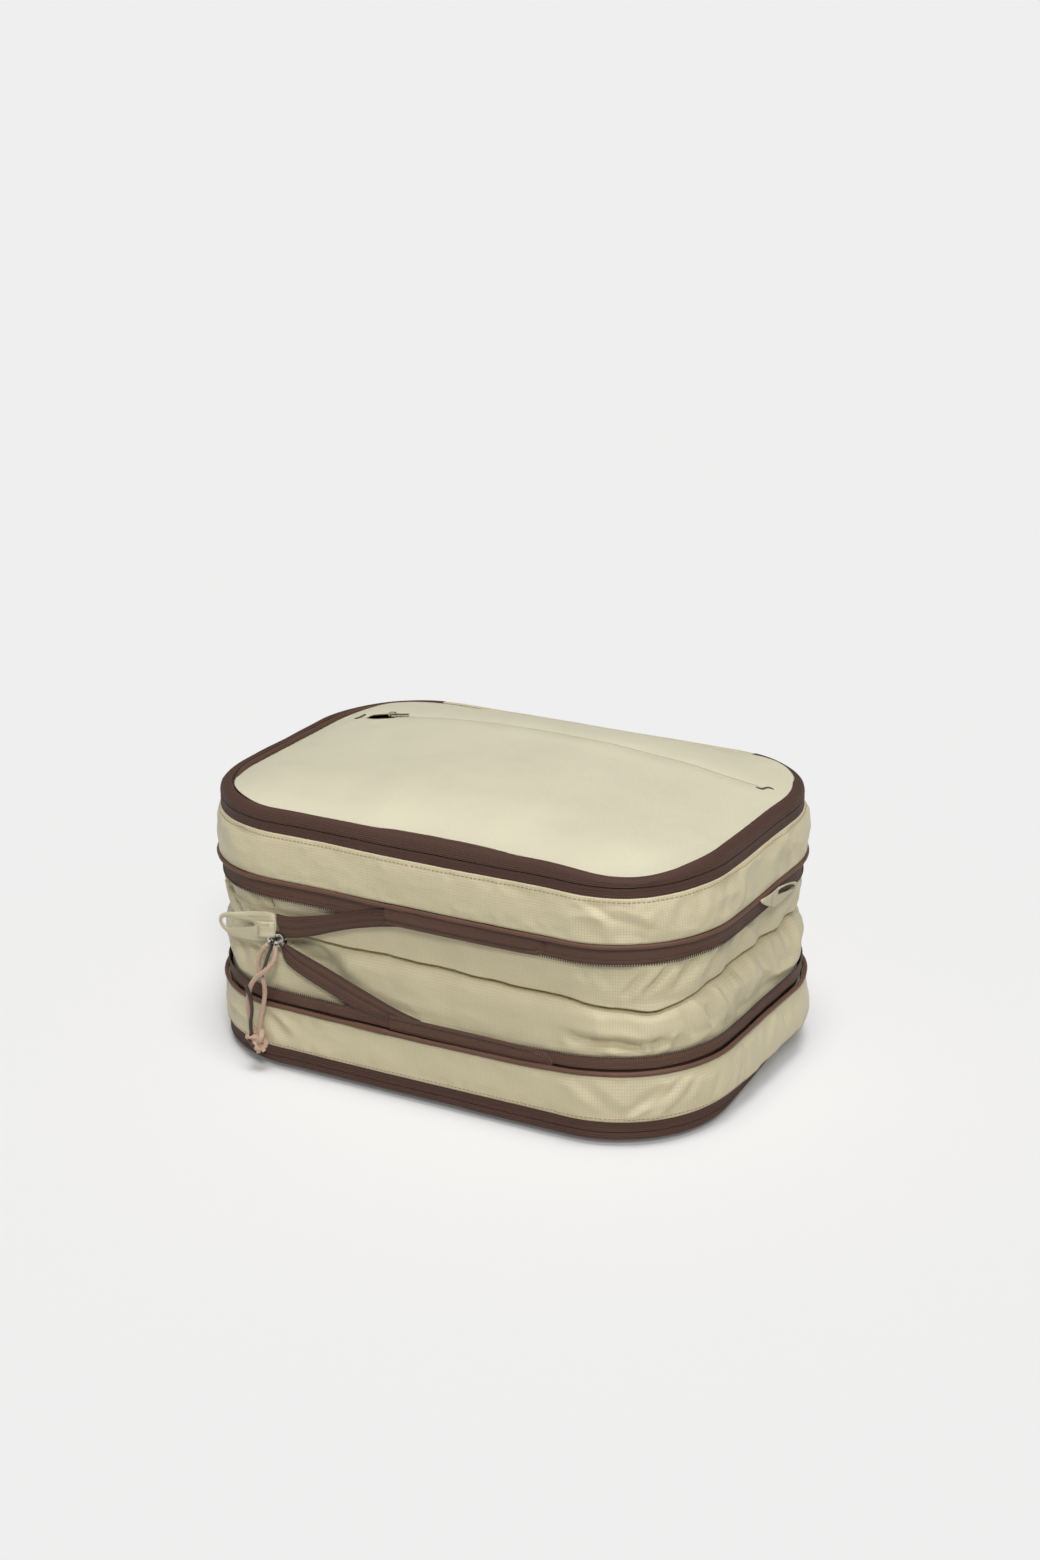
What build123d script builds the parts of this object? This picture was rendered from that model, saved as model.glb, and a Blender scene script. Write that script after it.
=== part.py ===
"""Two-sided compression packing cube: a soft fabric case with a zipped lid on top, a zipped lid
underneath, and a compression zip round its waist that closes over a folded gusset.

Millimetres, +Z up. The origin is the middle of the flat underside. X runs along the case, and the
long face at -Y is the front, where the compression zip starts. Most pieces are strips that run
round the case, so they are drawn as a section (out, z), out being the distance outside the plan
outline, and swept round that outline."""

import math
import os

from build123d import *

os.makedirs("parts", exist_ok=True)

# ---- plan outline of the fabric case -------------------------------------------------------
LENGTH = 350.0
DEPTH = 238.0
CORNER_R = 73.0
HALF_L = LENGTH / 2
HALF_D = DEPTH / 2
RUN_X = HALF_L - CORNER_R  # half of the straight stretch along X
RUN_Y = HALF_D - CORNER_R  # half of the straight stretch along Y

# ---- stock thicknesses ---------------------------------------------------------------------
CLOTH = 1.2  # ripstop, coating and lining sewn together
TAPE = 0.8  # zip tape
TAPE_OUT = 0.1  # inner face of the compression zip's tape
COIL = 1.1  # height of one row of zip coil, across the tape
COIL_THICK = 1.2
PIPING_R = 1.8
SEAM = 0.2  # clearance between pieces that are sewn edge to edge

# ---- levels --------------------------------------------------------------------------------
BOTTOM_ZIP_Z = 9.8  # middle of the bottom lid's zip
LOWER_WALL_LOW = 16.6
LOWER_PIPING_Z = 46.6
LOWER_CHAIN_Z = 57.7  # free edge of the lower half of the compression zip
CREASE_Z = 97.0  # where the gusset folds inwards
UPPER_CHAIN_Z = 118.3  # free edge of the upper half of the compression zip
UPPER_PIPING_Z = 131.5
UPPER_WALL_TOP = 163.0
TOP_ZIP_Z = 169.6  # middle of the top lid's zip
CHAIN_GAP = 1.2  # between the two rows of a closed zip, where a slider's neck runs
COMPRESSION = UPPER_CHAIN_Z - LOWER_CHAIN_Z - CHAIN_GAP  # travel of the upper half

# ---- walls ---------------------------------------------------------------------------------
WALL_FLARE = 3.0  # how far a wall leans out at its compression seam
WALL_BELLY = 1.0  # extra fullness half way up a wall
PIPING_OUT = 3.0  # centre of the compression seams' piping

# ---- lids ----------------------------------------------------------------------------------
LID_TURN = 7.2  # how far a lid's zip tape turns in over the edge
LID_RISE = 3.7  # and how far it rises while it turns
LID_UPRIGHT = 1.5  # upright part of that tape before the turn
LID_PIPING_OUT = -LID_TURN - SEAM - PIPING_R
LID_INSET = -LID_PIPING_OUT + PIPING_R / 2 + SEAM  # outline of a lid panel
SPINE = 236.0  # length of the fabric hinge at the back, between the zip's ends
LID_EDGE_Z = 174.6
LID_CROWN = 18.4  # how far the stuffed lid rises above its edge
HEIGHT = LID_EDGE_Z + LID_CROWN
CROWN_POWER = 4
LINING = 0.8
LINING_Z = 171.3
LINING_INSET = 8.0

# ---- compression zip: start, tails and arms ------------------------------------------------
ZIP_START_X = -HALF_L + 74.0
ZIP_START_Z = 92.0
TAIL_END_X = HALF_L - 85.0
TAIL_START_X = TAIL_END_X - 110.0
TAIL_OUT = 1.2
GUSSET_OUT = -0.4
GUSSET_TUCK = 11.5  # depth of the fold
GUSSET_CURVE = 21.0  # height over which the cloth turns into the fold

# ---- webbing tabs --------------------------------------------------------------------------
RIGHT_TAB_OUT = 1.3
LEFT_TAB_OUT = 2.1
TAB_THICK = 1.2
TAB_LENGTH = 44.5
TAB_HEIGHT = 20.2
TAB_Z = ZIP_START_Z + 6.5
TAB_HOLE = (13.0, 9.0)
TAB_NOTCH = (8.2, 9.0)  # corner left free for the slider
WRAP = (12.4, 0.8, 8.0)
RIGHT_TAB_HEIGHT = 15.6
RIGHT_TAB_LENGTH = 50.0
RIGHT_TAB_HOLE = (14.0, 7.0)
RIGHT_TAB_Z = 116.4
RIGHT_TAB_Y = 34.0

# ---- sliders -------------------------------------------------------------------------------
PLATE = 1.0
SLIDER_LENGTH = 11.0
SLIDER_MOUTH = 8.6
SLIDER_TAIL = 6.4
NECK = (3.0, 0.8)
BRIDGE_GAP = 2.2
BRIDGE_BAR = 1.2
BRIDGE_WIDTH = 1.6
BRIDGE_LENGTH = 7.5
COMPRESSION_CHANNEL = (-1.0, 2.0)  # inner and outer face of the channel that the tapes run in
LID_CHANNEL = (-1.4, 0.3)
LID_SLIDER_Y = 38.0
LID_SLIDER_SIZE = 0.78
PULL_THICK = 1.2
FLAT_PULL = 0.9
RING_BAR = 1.0
RING_HOLE = 3.0

# ---- compression pull ----------------------------------------------------------------------
PULL_LEAN_OUT = 3.5  # degrees, so that the pull hangs clear of the lower piping
PULL_LEAN_SIDE = 20.0
PULL_LENGTH = 22.0
PULL_BAR = 2.4
EYE_R = 1.8
EYE_RIM = 0.6
CORD_EYE_R = 1.2
CORD_EYE_RIM = 0.5
CORD_D = 2.6
CORD_SIDES = 8
LACE_D = 2.0
KNOT_R = 5.8

# ---- pocket in the top lid -----------------------------------------------------------------
POCKET_Y = 53.0
SLIT_HALF = HALF_L - 25.0
SLIT_WIDTH = 3.0
POCKET_TAPE_WIDTH = 9.0
POCKET_TAPE_DEPTH = 3.0  # below the panel's outer face
POCKET_BRIDGE_GAP = 4.0  # tall enough for the pull to lie above the panel
POCKET_SLIDER_X = -SLIT_HALF + 29.0
BARTACK = (1.6, 9.0, 0.8)
BARTACK_SPAN = (-SLIT_HALF + 4.0, SLIT_HALF + 4.0)


def save(name, *solids):
    """Writes one sub-part; several solids stay separate solids in its file."""
    shape = solids[0] if len(solids) == 1 else Compound(children=list(solids))
    export_step(shape, f"parts/{name}.step")


def polygon(*points):
    return make_face(Polyline(*points, close=True))


def along(arc, steps):
    """Points on an arc at equal steps, ends included: soft cloth is drawn with flat facets."""
    return [tuple(arc @ (i / steps))[:2] for i in range(steps + 1)]


def section_plane(origin, out):
    """Plane whose local x points outwards and whose local y is up."""
    nx, ny = out
    return Plane(origin=(*origin, 0), x_dir=(nx, ny, 0), z_dir=(ny, -nx, 0))


def sweep_round(section):
    """Runs a section round the whole outline."""
    pieces = []
    for out in ((0, -1), (1, 0), (0, 1), (-1, 0)):
        nx, ny = out
        middle = (nx * HALF_L, ny * HALF_D)
        half_run = RUN_X if nx == 0 else RUN_Y
        pieces.append(extrude(section_plane(middle, out) * section, half_run, both=True))
        centre = (
            (nx if nx else -ny) * RUN_X,
            (ny if ny else nx) * RUN_Y,
        )
        turned = section_plane(centre, out) * Pos(CORNER_R, 0) * section
        pieces.append(revolve(turned, Axis((*centre, 0), (0, 0, 1)), 90))
    return Part() + pieces


def behind(width):
    """Block round the middle of the back, as wide as width."""
    return Pos(0, HALF_D, HEIGHT / 2) * Box(width, HALF_D, 2 * HEIGHT)


def zipped(ring):
    """The stretch of a lid's ring that has the zip."""
    return ring - behind(SPINE)


def hinged(ring):
    """The stretch at the back that has the fabric hinge instead."""
    return ring & behind(SPINE - 2 * SEAM)


def slab(inset, low, high):
    """Flat plate with the case's outline drawn in by inset."""
    plan = RectangleRounded(LENGTH - 2 * inset, DEPTH - 2 * inset, CORNER_R - inset)
    return Pos(0, 0, low) * extrude(plan, high - low)


# ---- walls and piping ----------------------------------------------------------------------
def wall(edge_z, seam_z):
    """Side wall from a lid's zip, at edge_z, to its compression seam, where it leans out."""
    outer = ThreePointArc(
        (0, edge_z),
        (WALL_FLARE / 2 + WALL_BELLY, (edge_z + seam_z) / 2),
        (WALL_FLARE, seam_z),
    )
    inner = ThreePointArc(
        (WALL_FLARE - CLOTH, seam_z),
        (WALL_FLARE / 2 + WALL_BELLY - CLOTH, (edge_z + seam_z) / 2),
        (-CLOTH, edge_z),
    )
    return sweep_round(polygon(*along(outer, 3), *along(inner, 3)))


def piping(out, z):
    """Corded edging, with the flat inner side that is sewn into the seam."""
    flat = PIPING_R * 0.5
    cord = ThreePointArc((out - flat, z - PIPING_R), (out + PIPING_R, z), (out - flat, z + PIPING_R))
    return sweep_round(polygon(*along(cord, 4)))


def compression_tape(chain_z, seam_z):
    """Half of the compression zip's tape: it hangs behind the piping, with its coil edge free."""
    up = math.copysign(1, seam_z - chain_z)
    coil_edge = chain_z + up * (COIL + SEAM / 2)
    hidden = seam_z + up * (PIPING_R - SEAM)
    low, high = sorted((coil_edge, hidden))
    far = TAPE_OUT + TAPE
    tape = polygon((TAPE_OUT, low), (far, low), (far, high), (TAPE_OUT, high))
    low, high = sorted((chain_z, chain_z + up * COIL))
    mid = TAPE_OUT + TAPE / 2
    coil = polygon(
        (mid - COIL_THICK / 2, low),
        (mid + COIL_THICK / 2, low),
        (mid + COIL_THICK / 2, high),
        (mid - COIL_THICK / 2, high),
    )
    return sweep_round(tape), sweep_round(coil)


def tail(chain_z, seam_z):
    """Overlapping end of the compression zip on the front, with its coil turned into the seam."""
    up = math.copysign(1, seam_z - chain_z)
    height = abs(seam_z - chain_z) - PIPING_R - SEAM
    radius = height * 0.8
    y = -HALF_D - TAIL_OUT
    low = chain_z
    high = chain_z + up * height
    corner = radius * (1 - math.cos(math.radians(45)))
    edge = Polyline((TAIL_START_X, low), (TAIL_END_X - radius, low))
    turn = ThreePointArc(
        (TAIL_END_X - radius, low),
        (TAIL_END_X - corner, low + up * corner),
        (TAIL_END_X, low + up * radius),
    )
    rest = Polyline(
        (TAIL_END_X, low + up * radius), (TAIL_END_X, high), (TAIL_START_X, high), (TAIL_START_X, low)
    )
    front = Plane(origin=(0, y, 0), x_dir=(1, 0, 0), z_dir=(0, -1, 0))
    return extrude(front * make_face([*edge.edges(), turn, *rest.edges()]), TAPE * 0.75)


def arm(*points):
    """Free stretch of tape, from the zip's start to where it runs into the ring of tape."""
    start = (ZIP_START_X, -HALF_D - TAPE_OUT, ZIP_START_Z)
    front = Plane(origin=start, x_dir=(1, 0, 0), z_dir=(0, -1, 0))
    return extrude(front * polygon(*points), TAPE)


def gusset():
    """Bellows of cloth behind the compression zip, folded inwards half way up."""
    radius = (GUSSET_TUCK**2 + GUSSET_CURVE**2) / (2 * GUSSET_TUCK)
    half_turn = math.asin(GUSSET_CURVE / radius) / 2
    ends = (LOWER_PIPING_Z + PIPING_R, UPPER_PIPING_Z - PIPING_R)

    def skin(out):
        """One face of the cloth, from the lower seam through the fold to the upper seam."""
        fold = (out - GUSSET_TUCK, CREASE_Z)
        middle_out = out - radius * (1 - math.cos(half_turn))
        rise = GUSSET_CURVE - radius * math.sin(half_turn)
        low, high = CREASE_Z - GUSSET_CURVE, CREASE_Z + GUSSET_CURVE
        into = along(ThreePointArc((out, low), (middle_out, CREASE_Z - rise), fold), 4)
        back = along(ThreePointArc(fold, (middle_out, CREASE_Z + rise), (out, high)), 4)
        return [(out, ends[0]), *into, *back[1:], (out, ends[1])]

    return sweep_round(polygon(*skin(GUSSET_OUT), *reversed(skin(GUSSET_OUT - CLOTH))))


# ---- lid zips ------------------------------------------------------------------------------
def fixed_half(zip_z, wall_z):
    """Tape and coil of the half of a lid zip that stays on the case, and the spine behind it."""
    up = math.copysign(1, wall_z - zip_z)
    chain = zip_z + up * CHAIN_GAP / 2
    coil_far = chain + up * COIL * 0.7
    low, high = sorted((coil_far + up * SEAM / 2, wall_z - up * SEAM))
    tape = polygon((-TAPE, low), (0, low), (0, high), (-TAPE, high))
    low, high = sorted((chain, coil_far))
    coil = polygon((-TAPE - 0.1, low), (0.1, low), (0.1, high), (-TAPE - 0.1, high))
    ring = sweep_round(tape)
    return zipped(ring), zipped(sweep_round(coil)), hinged(ring)


def lid_half(zip_z, up):
    """Tape and coil of the half that lifts with the lid, and the lid's own stretch of spine."""
    chain = zip_z + up * CHAIN_GAP / 2
    coil_far = chain + up * COIL * 0.7
    foot = coil_far + up * SEAM / 2
    turn = foot + up * LID_UPRIGHT
    share = math.sqrt(0.5)
    outer = ThreePointArc(
        (0, turn),
        (-LID_TURN * (1 - share), turn + up * LID_RISE * share),
        (-LID_TURN, turn + up * LID_RISE),
    )
    inner = ThreePointArc(
        (-LID_TURN, turn + up * (LID_RISE - TAPE)),
        (-LID_TURN * (1 - share) - TAPE * share, turn + up * (LID_RISE - TAPE) * share),
        (-TAPE, turn),
    )
    tape = polygon((0, foot), *along(outer, 3), *along(inner, 3), (-TAPE, foot))
    low, high = sorted((chain, coil_far))
    coil = polygon((-TAPE - 0.1, low), (0.1, low), (0.1, high), (-TAPE - 0.1, high))
    ring = sweep_round(tape)
    return zipped(ring), zipped(sweep_round(coil)), hinged(ring)


LID_TAPE_TOP = TOP_ZIP_Z + CHAIN_GAP / 2 + COIL * 0.7 + SEAM / 2 + LID_UPRIGHT + LID_RISE
BASE_TAPE_LOW = BOTTOM_ZIP_Z - (LID_TAPE_TOP - TOP_ZIP_Z)


def crown_height(y):
    """Rise of the stuffed lid above its edge along the middle, at y."""
    edge = HALF_D - LID_INSET
    return max(LID_CROWN * (1 - (abs(y) / edge) ** CROWN_POWER), 0.3)


def crown_radius(y):
    half = HALF_L - LID_INSET
    rise = crown_height(y)
    return (half**2 + rise**2) / (2 * rise)


def crown_body():
    """Solid under the lid's crowned outer face, wider than the lid itself."""
    reach = HALF_L - LID_INSET + 6
    edge = HALF_D - LID_INSET
    stations = (edge + 3, 95.0, 78.0, POCKET_Y, 30.0, 0.0)
    sections = []
    for y in [-s for s in stations] + list(stations[-2::-1]):
        radius = crown_radius(y)
        centre = LID_EDGE_Z + crown_height(y) - radius
        side_z = centre + math.sqrt(radius**2 - reach**2)
        arc = ThreePointArc((-reach, side_z), (0, centre + radius), (reach, side_z))
        base_z = LID_EDGE_Z - 12
        walls = Polyline((reach, side_z), (reach, base_z), (-reach, base_z), (-reach, side_z))
        plane = Plane(origin=(0, y, 0), x_dir=(1, 0, 0), z_dir=(0, -1, 0))
        sections.append(plane * make_face([arc, *walls.edges()]))
    return loft(sections)


def lid_panel():
    """Crowned panel of the top lid, with the pocket's slit."""
    body = crown_body()
    skin = body - Pos(0, 0, -CLOTH) * body
    panel = skin & slab(LID_INSET, LID_EDGE_Z - 4, LID_EDGE_Z + LID_CROWN + 5)
    slit = Pos(0, POCKET_Y, LID_EDGE_Z + LID_CROWN / 2) * Box(2 * SLIT_HALF, SLIT_WIDTH, 3 * LID_CROWN)
    return panel - slit


def arc_strip(width, from_x, to_x):
    """Zip tape that follows the pocket's curve, below the panel's outer face."""
    depth_low, depth_high = POCKET_TAPE_DEPTH + TAPE, POCKET_TAPE_DEPTH
    radius = crown_radius(POCKET_Y)
    centre = LID_EDGE_Z + crown_height(POCKET_Y) - radius

    def at(x, depth):
        r = radius - depth
        return (x, centre + math.sqrt(r**2 - x**2))

    middle = (from_x + to_x) / 2
    top = ThreePointArc(at(from_x, depth_high), at(middle, depth_high), at(to_x, depth_high))
    low = ThreePointArc(at(to_x, depth_low), at(middle, depth_low), at(from_x, depth_low))
    face = make_face([top, Line(top @ 1, low @ 0), low, Line(low @ 1, top @ 0)])
    plane = Plane(origin=(0, 0, 0), x_dir=(1, 0, 0), z_dir=(0, -1, 0))
    return extrude(plane * face, width / 2, both=True)


def pocket_place(x):
    """Frame on the lid's outer face above the pocket zip, at x, turned to lie on the crown."""
    radius = crown_radius(POCKET_Y)
    centre = LID_EDGE_Z + crown_height(POCKET_Y) - radius
    angle = math.degrees(math.asin(x / radius))
    return Pos(0, POCKET_Y, centre) * Rot(0, angle, 0) * Pos(0, 0, radius)


# ---- tabs ----------------------------------------------------------------------------------
def tab(length, height, hole):
    """Webbing tab in its own plane, x along it from its rounded end, thickness along z."""
    round_end = Pos(-length / 2 + height / 2, 0) * Circle(height / 2)
    plan = round_end + Pos(height / 4, 0) * Rectangle(length - height / 2, height)
    plan -= Pos(-length / 2 + height * 0.26 + hole[0] / 2, 0) * RectangleRounded(*hole, hole[1] * 0.45)
    return extrude(plan, TAB_THICK)


# ---- sliders and pulls ---------------------------------------------------------------------
def slider(channel, size=1.0, gap=None):
    """Zip slider in its own frame: x along the zip towards its mouth, y across, z outwards."""
    low, high = channel
    gap = gap or BRIDGE_GAP
    mouth, end = SLIDER_MOUTH * size, SLIDER_TAIL * size
    half = SLIDER_LENGTH * size / 2
    plan = make_face(
        [
            ThreePointArc((-half, -end / 2), (-half - 0.8, 0), (-half, end / 2)),
            Line((-half, end / 2), (half * 0.4, mouth / 2)),
            ThreePointArc((half * 0.4, mouth / 2), (half, mouth * 0.36), (half * 0.95, 0)),
            ThreePointArc((half * 0.95, 0), (half, -mouth * 0.36), (half * 0.4, -mouth / 2)),
            Line((half * 0.4, -mouth / 2), (-half, -end / 2)),
        ]
    )
    plates = Pos(0, 0, high) * extrude(plan, PLATE) + Pos(0, 0, low - PLATE) * extrude(plan, PLATE)
    spot = Pos(half * 0.95 - NECK[0] / 2 - 0.2, 0, (low + high) / 2)
    neck = spot * Box(NECK[0], NECK[1], high - low + PLATE)
    foot = high + PLATE
    reach = BRIDGE_LENGTH * size / 2
    top = foot + gap + BRIDGE_BAR
    hole = reach - BRIDGE_BAR
    arch = make_face(
        [
            Line((-reach, foot - 0.3), (-reach, top - 1)),
            ThreePointArc((-reach, top - 1), (-reach + 0.3, top - 0.3), (-reach + 1, top)),
            Line((-reach + 1, top), (reach - 1, top)),
            ThreePointArc((reach - 1, top), (reach - 0.3, top - 0.3), (reach, top - 1)),
            Line((reach, top - 1), (reach, foot - 0.3)),
            Line((reach, foot - 0.3), (hole, foot - 0.3)),
            Line((hole, foot - 0.3), (hole, foot + gap)),
            Line((hole, foot + gap), (-hole, foot + gap)),
            Line((-hole, foot + gap), (-hole, foot - 0.3)),
            Line((-hole, foot - 0.3), (-reach, foot - 0.3)),
        ]
    )
    upright = Plane(origin=(0, 0, 0), x_dir=(1, 0, 0), z_dir=(0, -1, 0))
    bridge = extrude(upright * arch, BRIDGE_WIDTH * size / 2, both=True)
    return plates + neck + bridge


def flat_pull(length, width, size=1.0):
    """Small metal pull in its own frame: x along it from its pivot bar at the origin, z outwards."""
    inner = BRIDGE_WIDTH * size / 2 + 0.35
    near, far = RING_BAR / 2, RING_BAR / 2 + RING_HOLE
    ring = Pos((far + RING_BAR - near) / 2, 0) * RectangleRounded(far + RING_BAR + near, 2 * inner + 2.2, 0.8)
    ring -= Pos((near + far) / 2, 0) * Rectangle(RING_HOLE, 2 * inner)
    blade = Pos(far + 0.4 + length / 2, 0) * RectangleRounded(length, width, width * 0.3)
    blade -= Pos(far + 0.4 + length - width * 0.55, 0) * Circle(width * 0.2)
    return extrude(ring + blade, FLAT_PULL / 2, both=True)


def compression_pull():
    """Upright blade with an eye round the slider's bridge above and a smaller eye for the cord below."""
    bottom = Pos(0, -PULL_LENGTH)
    plan = Circle(EYE_R + EYE_RIM) + bottom * Circle(CORD_EYE_R + CORD_EYE_RIM)
    shank = PULL_LENGTH - EYE_R - CORD_EYE_R
    plan += Pos(0, -EYE_R - shank / 2) * Rectangle(PULL_BAR, shank)
    plan -= Circle(EYE_R)
    plan -= bottom * Circle(CORD_EYE_R)
    return extrude(plan, PULL_THICK / 2, both=True)


def cord_tube(points, diameter):
    """Round cord along straight runs joined by tangent arcs, as large as the runs allow."""
    route = [Vector(*p) for p in points]
    radii = []
    for a, b, c in zip(route, route[1:], route[2:]):
        turn = math.radians((b - a).get_angle(c - b))
        radii.append(0.45 * min((b - a).length, (c - b).length) / math.tan(turn / 2))
    path = FilletPolyline(*route, radius=radii)
    start = Plane(origin=path @ 0, z_dir=path % 0)
    section = RegularPolygon(diameter / 2, CORD_SIDES)
    tube = sweep(start * section, path=path)
    ideal = path.length * section.area
    print("cord", "radii", [round(r, 1) for r in radii], "length", round(path.length, 1),
          "volume share", round(tube.volume / ideal, 4))
    return tube


def ball(radius):
    """Rough ball, twelve-sided like the knot it stands for."""
    half = [(radius * math.sin(a), radius * math.cos(a)) for a in (math.pi * i / 6 for i in range(1, 6))]
    profile = Plane.XZ * polygon((0, radius), *half, (0, -radius))
    return revolve(profile, Axis.Z)


# ---- build: lower half ---------------------------------------------------------------------
save("lower_wall", wall(LOWER_WALL_LOW, LOWER_PIPING_Z - PIPING_R - SEAM))
save("lower_piping", piping(PIPING_OUT, LOWER_PIPING_Z))
lower_tape, lower_coil = compression_tape(LOWER_CHAIN_Z, LOWER_PIPING_Z)
save("lower_zip_tape", lower_tape)
save("lower_zip_coil", lower_coil)
save("lower_zip_tail", tail(LOWER_CHAIN_Z, LOWER_PIPING_Z))
ARM_LEFT = 2.5  # from the zip's start
ARM_LOW = LOWER_CHAIN_Z + SEAM - ZIP_START_Z
save(
    "lower_zip_arm",
    arm(
        (ARM_LEFT, -0.8),
        (ARM_LEFT, -17.0),
        (16.0, -19.6),
        (54.0, ARM_LOW),
        (102.0, ARM_LOW),
        (76.0, -24.7),
        (31.0, -9.8),
    ),
)
save("gusset", gusset())
bottom_tape, bottom_coil, bottom_spine = fixed_half(BOTTOM_ZIP_Z, LOWER_WALL_LOW)
save("bottom_zip_tape", bottom_tape)
save("bottom_zip_coil", bottom_coil)
save("bottom_spine", bottom_spine)
DIVIDER_Z = LOWER_PIPING_Z - PIPING_R - SEAM - 1.2
save("divider", slab(CLOTH + 0.3 - WALL_FLARE, DIVIDER_Z, DIVIDER_Z + LINING))

# ---- build: upper half ---------------------------------------------------------------------
save("upper_wall", wall(UPPER_WALL_TOP, UPPER_PIPING_Z + PIPING_R + SEAM))
save("upper_piping", piping(PIPING_OUT, UPPER_PIPING_Z))
upper_tape, upper_coil = compression_tape(UPPER_CHAIN_Z, UPPER_PIPING_Z)
save("upper_zip_tape", upper_tape)
save("upper_zip_coil", upper_coil)
save("upper_zip_tail", tail(UPPER_CHAIN_Z, UPPER_PIPING_Z))
ARM_HIGH = UPPER_CHAIN_Z - SEAM - ZIP_START_Z
save(
    "upper_zip_arm",
    arm(
        (ARM_LEFT, 0.8),
        (17.0, 3.0),
        (47.0, 13.2),
        (78.0, 22.2),
        (93.0, ARM_HIGH),
        (41.0, ARM_HIGH),
        (6.0, 16.6),
        (ARM_LEFT, 16.6),
    ),
)
top_tape, top_coil, top_spine = fixed_half(TOP_ZIP_Z, UPPER_WALL_TOP)
save("top_zip_tape", top_tape)
save("top_zip_coil", top_coil)
save("top_spine", top_spine)
right_face = Plane(
    origin=(HALF_L + RIGHT_TAB_OUT, RIGHT_TAB_Y, RIGHT_TAB_Z), x_dir=(0, -1, 0), z_dir=(1, 0, 0)
)
save("right_tab", right_face * tab(RIGHT_TAB_LENGTH, RIGHT_TAB_HEIGHT, RIGHT_TAB_HOLE))

# ---- build: lids ---------------------------------------------------------------------------
save("lid_panel", lid_panel())
save("lid_piping", piping(LID_PIPING_OUT, LID_EDGE_Z - 0.4))
lid_tape, lid_coil, lid_spine = lid_half(TOP_ZIP_Z, 1)
save("lid_zip_tape", lid_tape)
save("lid_zip_coil", lid_coil)
save("lid_spine", lid_spine)
save("lid_lining", slab(LINING_INSET, LINING_Z, LINING_Z + LINING))
strips = []
for side in (-1, 1):
    offset = side * (CHAIN_GAP + POCKET_TAPE_WIDTH) / 2
    strip = arc_strip(POCKET_TAPE_WIDTH, -SLIT_HALF, SLIT_HALF)
    strips.append(Pos(0, POCKET_Y + offset, 0) * strip)
save("pocket_zip_tapes", *strips)
save(
    "pocket_bartacks",
    *[pocket_place(x) * Pos(0, 0, BARTACK[2] / 2 + 0.15) * Box(*BARTACK) for x in BARTACK_SPAN],
)
base_plate = slab(LID_INSET, 0, BASE_TAPE_LOW)
base_plate = chamfer(base_plate.faces().sort_by(Axis.Z)[0].edges(), BASE_TAPE_LOW * 0.7)
hollow = slab(LID_INSET + CLOTH, CLOTH, BASE_TAPE_LOW + 1)
save("bottom_panel", base_plate - hollow)
save("bottom_piping", piping(LID_PIPING_OUT, BASE_TAPE_LOW))
base_tape, base_coil, base_spine = lid_half(BOTTOM_ZIP_Z, -1)
save("bottom_lid_zip_tape", base_tape)
save("bottom_lid_zip_coil", base_coil)
save("bottom_lid_spine", base_spine)

# ---- build: start of the compression zip ---------------------------------------------------
TAB_RIGHT = ZIP_START_X + 1.0
front_face = Plane(
    origin=(TAB_RIGHT - TAB_LENGTH / 2, -HALF_D - LEFT_TAB_OUT, TAB_Z), x_dir=(1, 0, 0), z_dir=(0, -1, 0)
)
notch = Pos((TAB_LENGTH - TAB_NOTCH[0]) / 2, (TAB_NOTCH[1] - TAB_HEIGHT) / 2) * Box(*TAB_NOTCH, 3 * TAB_THICK)
save("left_tab", front_face * (tab(TAB_LENGTH, TAB_HEIGHT, TAB_HOLE) - notch))
WRAP_RIGHT = ZIP_START_X - SLIDER_LENGTH / 2 - 0.8 - 0.3
save(
    "zip_end_wrap",
    Pos(WRAP_RIGHT - WRAP[0] / 2, -HALF_D - LEFT_TAB_OUT + WRAP[1] / 2 + 0.1, ZIP_START_Z + 0.2) * Box(*WRAP),
)

# ---- build: compression slider and its pull ------------------------------------------------
front_at_start = Plane(origin=(ZIP_START_X, -HALF_D, ZIP_START_Z), x_dir=(1, 0, 0), z_dir=(0, -1, 0))
save("zip_slider", front_at_start * slider(COMPRESSION_CHANNEL))
BAIL_OUT = COMPRESSION_CHANNEL[1] + PLATE + BRIDGE_GAP + BRIDGE_BAR / 2
BAIL = (ZIP_START_X, -HALF_D - BAIL_OUT, ZIP_START_Z)
hang = Pos(*BAIL) * Rot(-PULL_LEAN_OUT, 0, 0) * Rot(0, PULL_LEAN_SIDE, 0)
drop = Pos(0, 0, -(EYE_R - BRIDGE_WIDTH / 2 - 0.6))
upright_pull = Plane(origin=(0, 0, 0), x_dir=(0, -1, 0), z_dir=(-1, 0, 0))
save("pull_blade", hang * drop * (upright_pull * compression_pull()))
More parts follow.
